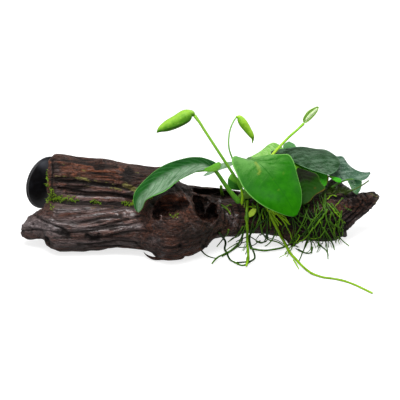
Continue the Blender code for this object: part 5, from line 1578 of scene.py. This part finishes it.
hairs["hair_roots_right"] = {
    "seed": 4, "share": 0.86, "anchors": (0.64, 0.98, 9),
    "strands": (
        (0.8, 0.35, (325.5, 207), (324, 214), (319, 220), (313, 225.8), (308, 230.3), (303, 234), (298, 237.5),
         (293, 241.5), (289, 244.5)),
        (0.75, 0.5, (327, 211), (322, 217), (318.5, 222), (314, 227.3), (309, 232), (304, 236.5), (299, 240),
         (294, 243.5), (290, 248), (285, 254)),
        (0.6, 0.15, (323, 212), (317, 219.5), (311, 226), (305, 231), (299, 235), (294, 239)),
        (0.6, 0.4, (325.5, 194), (325.3, 200), (325.2, 206), (325.9, 211), (325.2, 215), (326.6, 219), (326, 223.5),
         (324.5, 227.5), (324.8, 231), (326.2, 235), (327.6, 239), (328.3, 247)),
        (0.55, 0.25, (321, 197), (322.7, 201), (323.6, 206), (322, 211), (319, 216), (317, 224)),
        (0.7, 0.45, (327, 206), (330, 211), (333.3, 215.7), (335.3, 220), (336.7, 224), (337.6, 229), (338.4, 234),
         (340, 238.5)), (0.6, 0.55, (328, 205), (332.5, 210), (336.5, 215), (340.3, 220), (343.8, 222.6)),
        (0.5, 0.45, (326.5, 203), (332, 209), (338.5, 214)),
        (0.6, 0.5, (341, 211), (340, 217), (337.2, 222.5), (334.6, 227.5), (334.1, 232), (335.6, 237),
         (336.4, 240)),
        (0.55, 0.3, (326, 219), (330, 222), (334.5, 224.7), (338.3, 227), (341, 230), (341.7, 233.3)),
        (0.5, 0.35, (327, 219), (329.6, 224), (332.7, 228.7)),
        (0.45, 0.45, (341.5, 200), (337, 203.5), (334.6, 207)), (0.5, 0.5, (335.3, 196.3), (331, 198), (327, 200)),
        (0.4, 0.4, (342.3, 205), (345.5, 208.8), (350.5, 210.5)),
        (0.5, 0.15, (305.5, 204), (309.5, 211), (313, 216), (316.5, 219.5)),
        (0.65, 0.2, (296, 212), (301, 215.3), (309, 219), (316, 220.6)),
        (0.5, 0.2, (295, 216), (300, 222), (303, 226), (306.5, 229.5)),
        (0.45, 0.15, (291, 217), (297.5, 223.5), (302, 227.3)),
        (0.45, 0.15, (293.5, 219), (295.5, 226), (294.6, 237)),
        (0.45, 0.1, (303, 204), (304.2, 212), (305.3, 219), (306.7, 227)),
        (0.45, 0.2, (313, 198), (314.6, 207), (315.6, 213), (316, 219)),
        (0.45, 0.15, (311, 201), (317, 208), (320.5, 213)), (0.5, 0.2, (318, 195), (321, 203), (323.5, 208)),
        (0.75, 0.3, (309, 229), (308.4, 236), (307.2, 242), (305.2, 247)),
        (0.5, 0.25, (309, 234), (311, 243), (311.2, 249), (311.7, 253.6)),
        (0.45, 0.35, (311, 238), (314.3, 243.5), (315.7, 248)), (0.5, 0.2, (313, 234), (319, 242.5), (320.2, 247)),
        (0.45, 0.15, (320, 244), (318, 249.5), (316.5, 252.6)),
        (0.7, 0.25, (313, 233), (317, 240.5), (321, 245.5), (325.2, 249.6), (327.7, 252.8), (328.3, 255)),
        (0.5, 0.15, (323.6, 231), (323, 239), (321.3, 243.6)),
        (0.45, 0.1, (324.6, 237), (325.8, 243), (325.3, 247.3)),
        (0.5, 0.3, (331, 229), (334.2, 234), (333, 238), (330.4, 241.5)),
        (0.5, 0.6, (337, 235), (338.3, 240), (340, 243.8)),
        (0.45, 0.45, (324, 230), (320, 234.7), (315, 236.6), (310, 236)),
        (0.45, 0.3, (319.5, 225), (317, 231), (313, 235.5), (308.5, 240.5)),
        (0.45, 0.2, (322.5, 221), (320.3, 229), (321.3, 238)), (0.5, 0.7, (298, 233.5), (297.6, 237), (294, 243)),
        (0.5, 0.5, (295, 241), (292.5, 246.5), (290.5, 251), (286.8, 257)),
        (0.45, 0.55, (293.6, 243), (291, 250.5), (285.5, 254.6), (279.5, 257.5)),
        (0.45, 0.1, (296, 249), (302, 252.3), (307.5, 252.5), (310.6, 249.6), (311.3, 245)),
        (0.5, 0.1, (293, 238), (294, 245), (298, 247.6)), (0.45, 0.2, (307, 228), (304.6, 234), (300.5, 241)),
        (0.45, 0.25, (315.5, 219), (312.5, 226), (313.5, 232)), (0.45, 0.3, (328, 228), (326.5, 233), (331, 239)),
        (0.45, 0.35, (331, 213), (330, 219), (332.6, 226)), (0.4, 0.4, (318, 209), (316.7, 215), (320.4, 222)),
        (0.4, 0.2, (299, 206), (300.5, 213), (298, 221)), (0.45, 0.5, (338.6, 218), (341, 224), (338.4, 231)),
        (0.4, 0.3, (307, 218), (303.5, 224), (299, 229)), (0.4, 0.15, (290, 219), (288, 226), (291.5, 233)),
        (0.4, 0.35, (301, 229), (297, 233), (295, 238)), (0.45, 0.45, (329, 238), (332, 243.5), (334, 248.7)),
    ),
}

# short roots behind the rhizome that hold it to the wood: two steps back and down from it, and radii, in millimetres
anchor = {
    "steps": ((3, -5), (7, -12)), "spread": 2.0, "radii": (0.75, 0.4), "points": 18, "sides": 7, "lift": 0.35,
    "tones": (0.1, 0.55), "smoothing": 2,
}
# every strand: how much of them have a finer one beside, how fine it is and how far off in pixels, how high they
# lie in millimetres, the wander's size, seed and reach, the radii's shares and how much paler the tip is
strand = {
    "double": 0.35, "finer": 0.6, "apart": 5.0, "lift": (0.6, 2.6), "wander": (0.008, 90, 0.0004), "sides": 7,
    "taper": (1.12, 0.75), "tip": 0.25, "spread": 0.1, "smoothing": 3, "drop": 0.007,
}


def addAnchors(shape, random, places):
    stem, radii = knotPath(rhizome["knots"], rhizome["points"])
    for share in np.linspace(*places):
        start = stem[round(share * (len(stem) - 1))]
        knots = [start + (0, 0.5 * radii.mean(), -0.5 * radii.mean())]
        for back, drop in anchor["steps"]:
            aim = Vector(start) + Vector((random.normal(0, anchor["spread"]), back, drop)) / 1000
            found, normal, _, _ = woodTree.find_nearest(aim)
            knots.append(np.array(found + normal * anchor["lift"] / 1000))
        path = smoothed(offWood(through(knots, anchor["points"]), anchor["lift"] / 1000), anchor["smoothing"])
        rings = tubeRings(path, np.linspace(*anchor["radii"], anchor["points"]) / 1000, anchor["sides"])
        shape.add(loft(rings), tone=random.uniform(*anchor["tones"]))


def hairPath(knots, lift):
    # the strand's points: on the wood where it shows there, and then hanging on at the depth that it had
    points = []
    for column, row in through([(*knot, 0) for knot in knots], 4 * len(knots))[:, :2]:
        spot = onWood(column, row, lift)
        if points and (spot is None or abs(spot[1] - points[-1][1]) > strand["drop"]):
            spot = place(column, row, (points[-1][1] - view["target"][1]) * 1000)
        if spot is None or spot[2] < lift:
            spot = onGround(column, row, lift)
        points.append(spot)
    return np.array(points)


def makeHairs(name, hair):
    # every listed strand, and a finer one that wanders beside some of them
    random = np.random.default_rng(hair["seed"])
    shape = Shape("tone")
    for radius, tone, *knots in hair["strands"]:
        radius *= hair["share"]
        for part in (1.0, strand["finer"]) if random.random() < strand["double"] else (1.0,):
            shift = (1 - part) * random.normal(0, strand["apart"], 2)
            lift = random.uniform(*strand["lift"]) / 1000
            spots = [(column + shift[0], row + 0.5 * shift[1]) for column, row in knots]
            path = through(hairPath(spots, lift), 10 * len(knots))
            shade = tone * part + random.normal(0, strand["spread"])
            path = offWood(path + drift(path, *strand["wander"]), radius * part / 1000)
            radii = radius * part / 1000 * np.linspace(*strand["taper"], len(path))
            rings = tubeRings(smoothed(path, strand["smoothing"]), radii, strand["sides"])
            tones = np.linspace(shade, min(1, shade + strand["tip"]), len(rings))
            shape.add(loft(rings), tone=perRing(rings, tones, (shade, shade)))
    addAnchors(shape, random, hair["anchors"])
    shape.build(f"{name}_strands", [rootSkin], [name])
    print(name, len(shape.faces), "faces")


for hairName, hairSpec in hairs.items():
    makeHairs(hairName, hairSpec)

# moss: tufts of leafy shoots, each patch along a stroke: half width and count, then its course in pixels
moss = {
    "moss_log_end": (
        (3, 46, (43, 202), (52, 199)), (3.5, 70, (51, 196), (62, 199.5)), (2.5, 40, (62, 198), (76, 200)),
        (1.5, 10, (50, 204), (53, 209)),
    ),
    "moss_log_edge": ((1.3, 40, (47, 171), (47.5, 186)), (1.5, 12, (50, 188), (52, 193)),),
    "moss_middle": ((1.6, 22, (91, 201), (101, 202)), (1.2, 6, (72, 199), (80, 201))),
    "moss_right": ((2.2, 48, (121, 203), (134, 205)), (1.2, 10, (133, 199), (134, 204)),),
    "moss_bulge": ((1.5, 14, (151, 198), (155, 195.5)), (0.7, 14, (170, 215), (174, 217.5), (179, 214)),),
}
# a shoot's length range in millimetres, its stem and leaves in metres, how far it strays and bends, and its look
mossTuft = {
    "length": (0.9, 2.6), "stem": 0.00012, "leaf": 0.00075, "leaves": 9, "seed": 30, "stray": 0.45, "bend": 0.35,
    "rise": (0, 0, 0.15), "tones": (0.2, 1.0), "deep": (0.06, 0.22, 0.01), "bright": (0.40, 0.68, 0.03),
    "fleck": (0.28, 0.30, 0.04), "bumps": 0.0001, "rough": 0.5, "gloss": 0.3,
}
# a leaf's left edge, tip, right edge and middle: out from the stem, along it and sideways, as shares of its size
mossLeaf = ((0.35, 0.1, 0.22), (0.9, 0.6, 0.0), (0.35, 0.1, -0.22), (0.4, 0.2, 0.0))
mossLeafThick = 0.06
mossLeafFaces = [[0, 1, 4], [1, 2, 4], [2, 3, 4], [3, 0, 4], [1, 0, 5], [2, 1, 5], [3, 2, 5], [0, 3, 5]]


def mossShoot(shape, random, foot, out):
    # one shoot: a thin curved stem with small pointed leaves round it
    aim = unit(out + random.normal(0, mossTuft["stray"], 3) + mossTuft["rise"])
    length = random.uniform(*mossTuft["length"]) / 1000
    bend = random.normal(0, mossTuft["bend"], 3)

    def stemAt(share):
        return foot + aim * length * share + bend * length * share**2 * 0.5

    tone = random.uniform(*mossTuft["tones"])
    shape.add(loft(tubeRings(stemAt(np.linspace(0, 1, 5)[:, None]), mossTuft["stem"], 3)), tone=tone)
    for k in range(mossTuft["leaves"]):
        at = (k + 1) / mossTuft["leaves"]
        spot = stemAt(at)
        side = unit(np.cross(aim, random.normal(0, 1, 3)))
        flat = unit(np.cross(side, aim))
        size = mossTuft["leaf"] * (1.15 - 0.5 * at)
        left, tip, right, middle = (spot + (side * far + aim * up + flat * off) * size
                                    for far, up, off in mossLeaf)
        thick = np.cross(side, flat) * size * mossLeafThick
        points = np.array((spot, left, tip, right, middle + thick, middle - thick))
        shape.add((points, mossLeafFaces), tone=tone)


def makeMoss(name, patches, seed):
    random = np.random.default_rng(seed)
    shape = Shape("tone")
    for width, count, *course in patches:
        line = through(course, 40)
        for _ in range(count):
            column, row = line[random.integers(len(line))] + random.normal(0, width * 0.5, 2)
            hit, normal = woodSeen(column, row)
            if hit is not None:
                mossShoot(shape, random, np.array(hit), unit(np.array(normal) + 0.5 * towardsCamera))
    graph = Graph(f"{name}_fibres")
    fleck = graph.noise(1.1, detail=2.0)
    colour = graph.coated(mossTuft["deep"], (graph.value("tone"), mossTuft["bright"]),
                          (0.4 * fleck, mossTuft["fleck"]))
    material = graph.finish(fleck, mossTuft["bumps"], colour=colour, rough=mossTuft["rough"],
                            gloss=mossTuft["gloss"])
    shape.build(f"{name}_tufts", [material], [name])


for mossSeed, (mossName, mossPatches) in enumerate(moss.items()):
    makeMoss(mossName, mossPatches, mossTuft["seed"] + mossSeed)
print("moss:", len(moss), "patches")
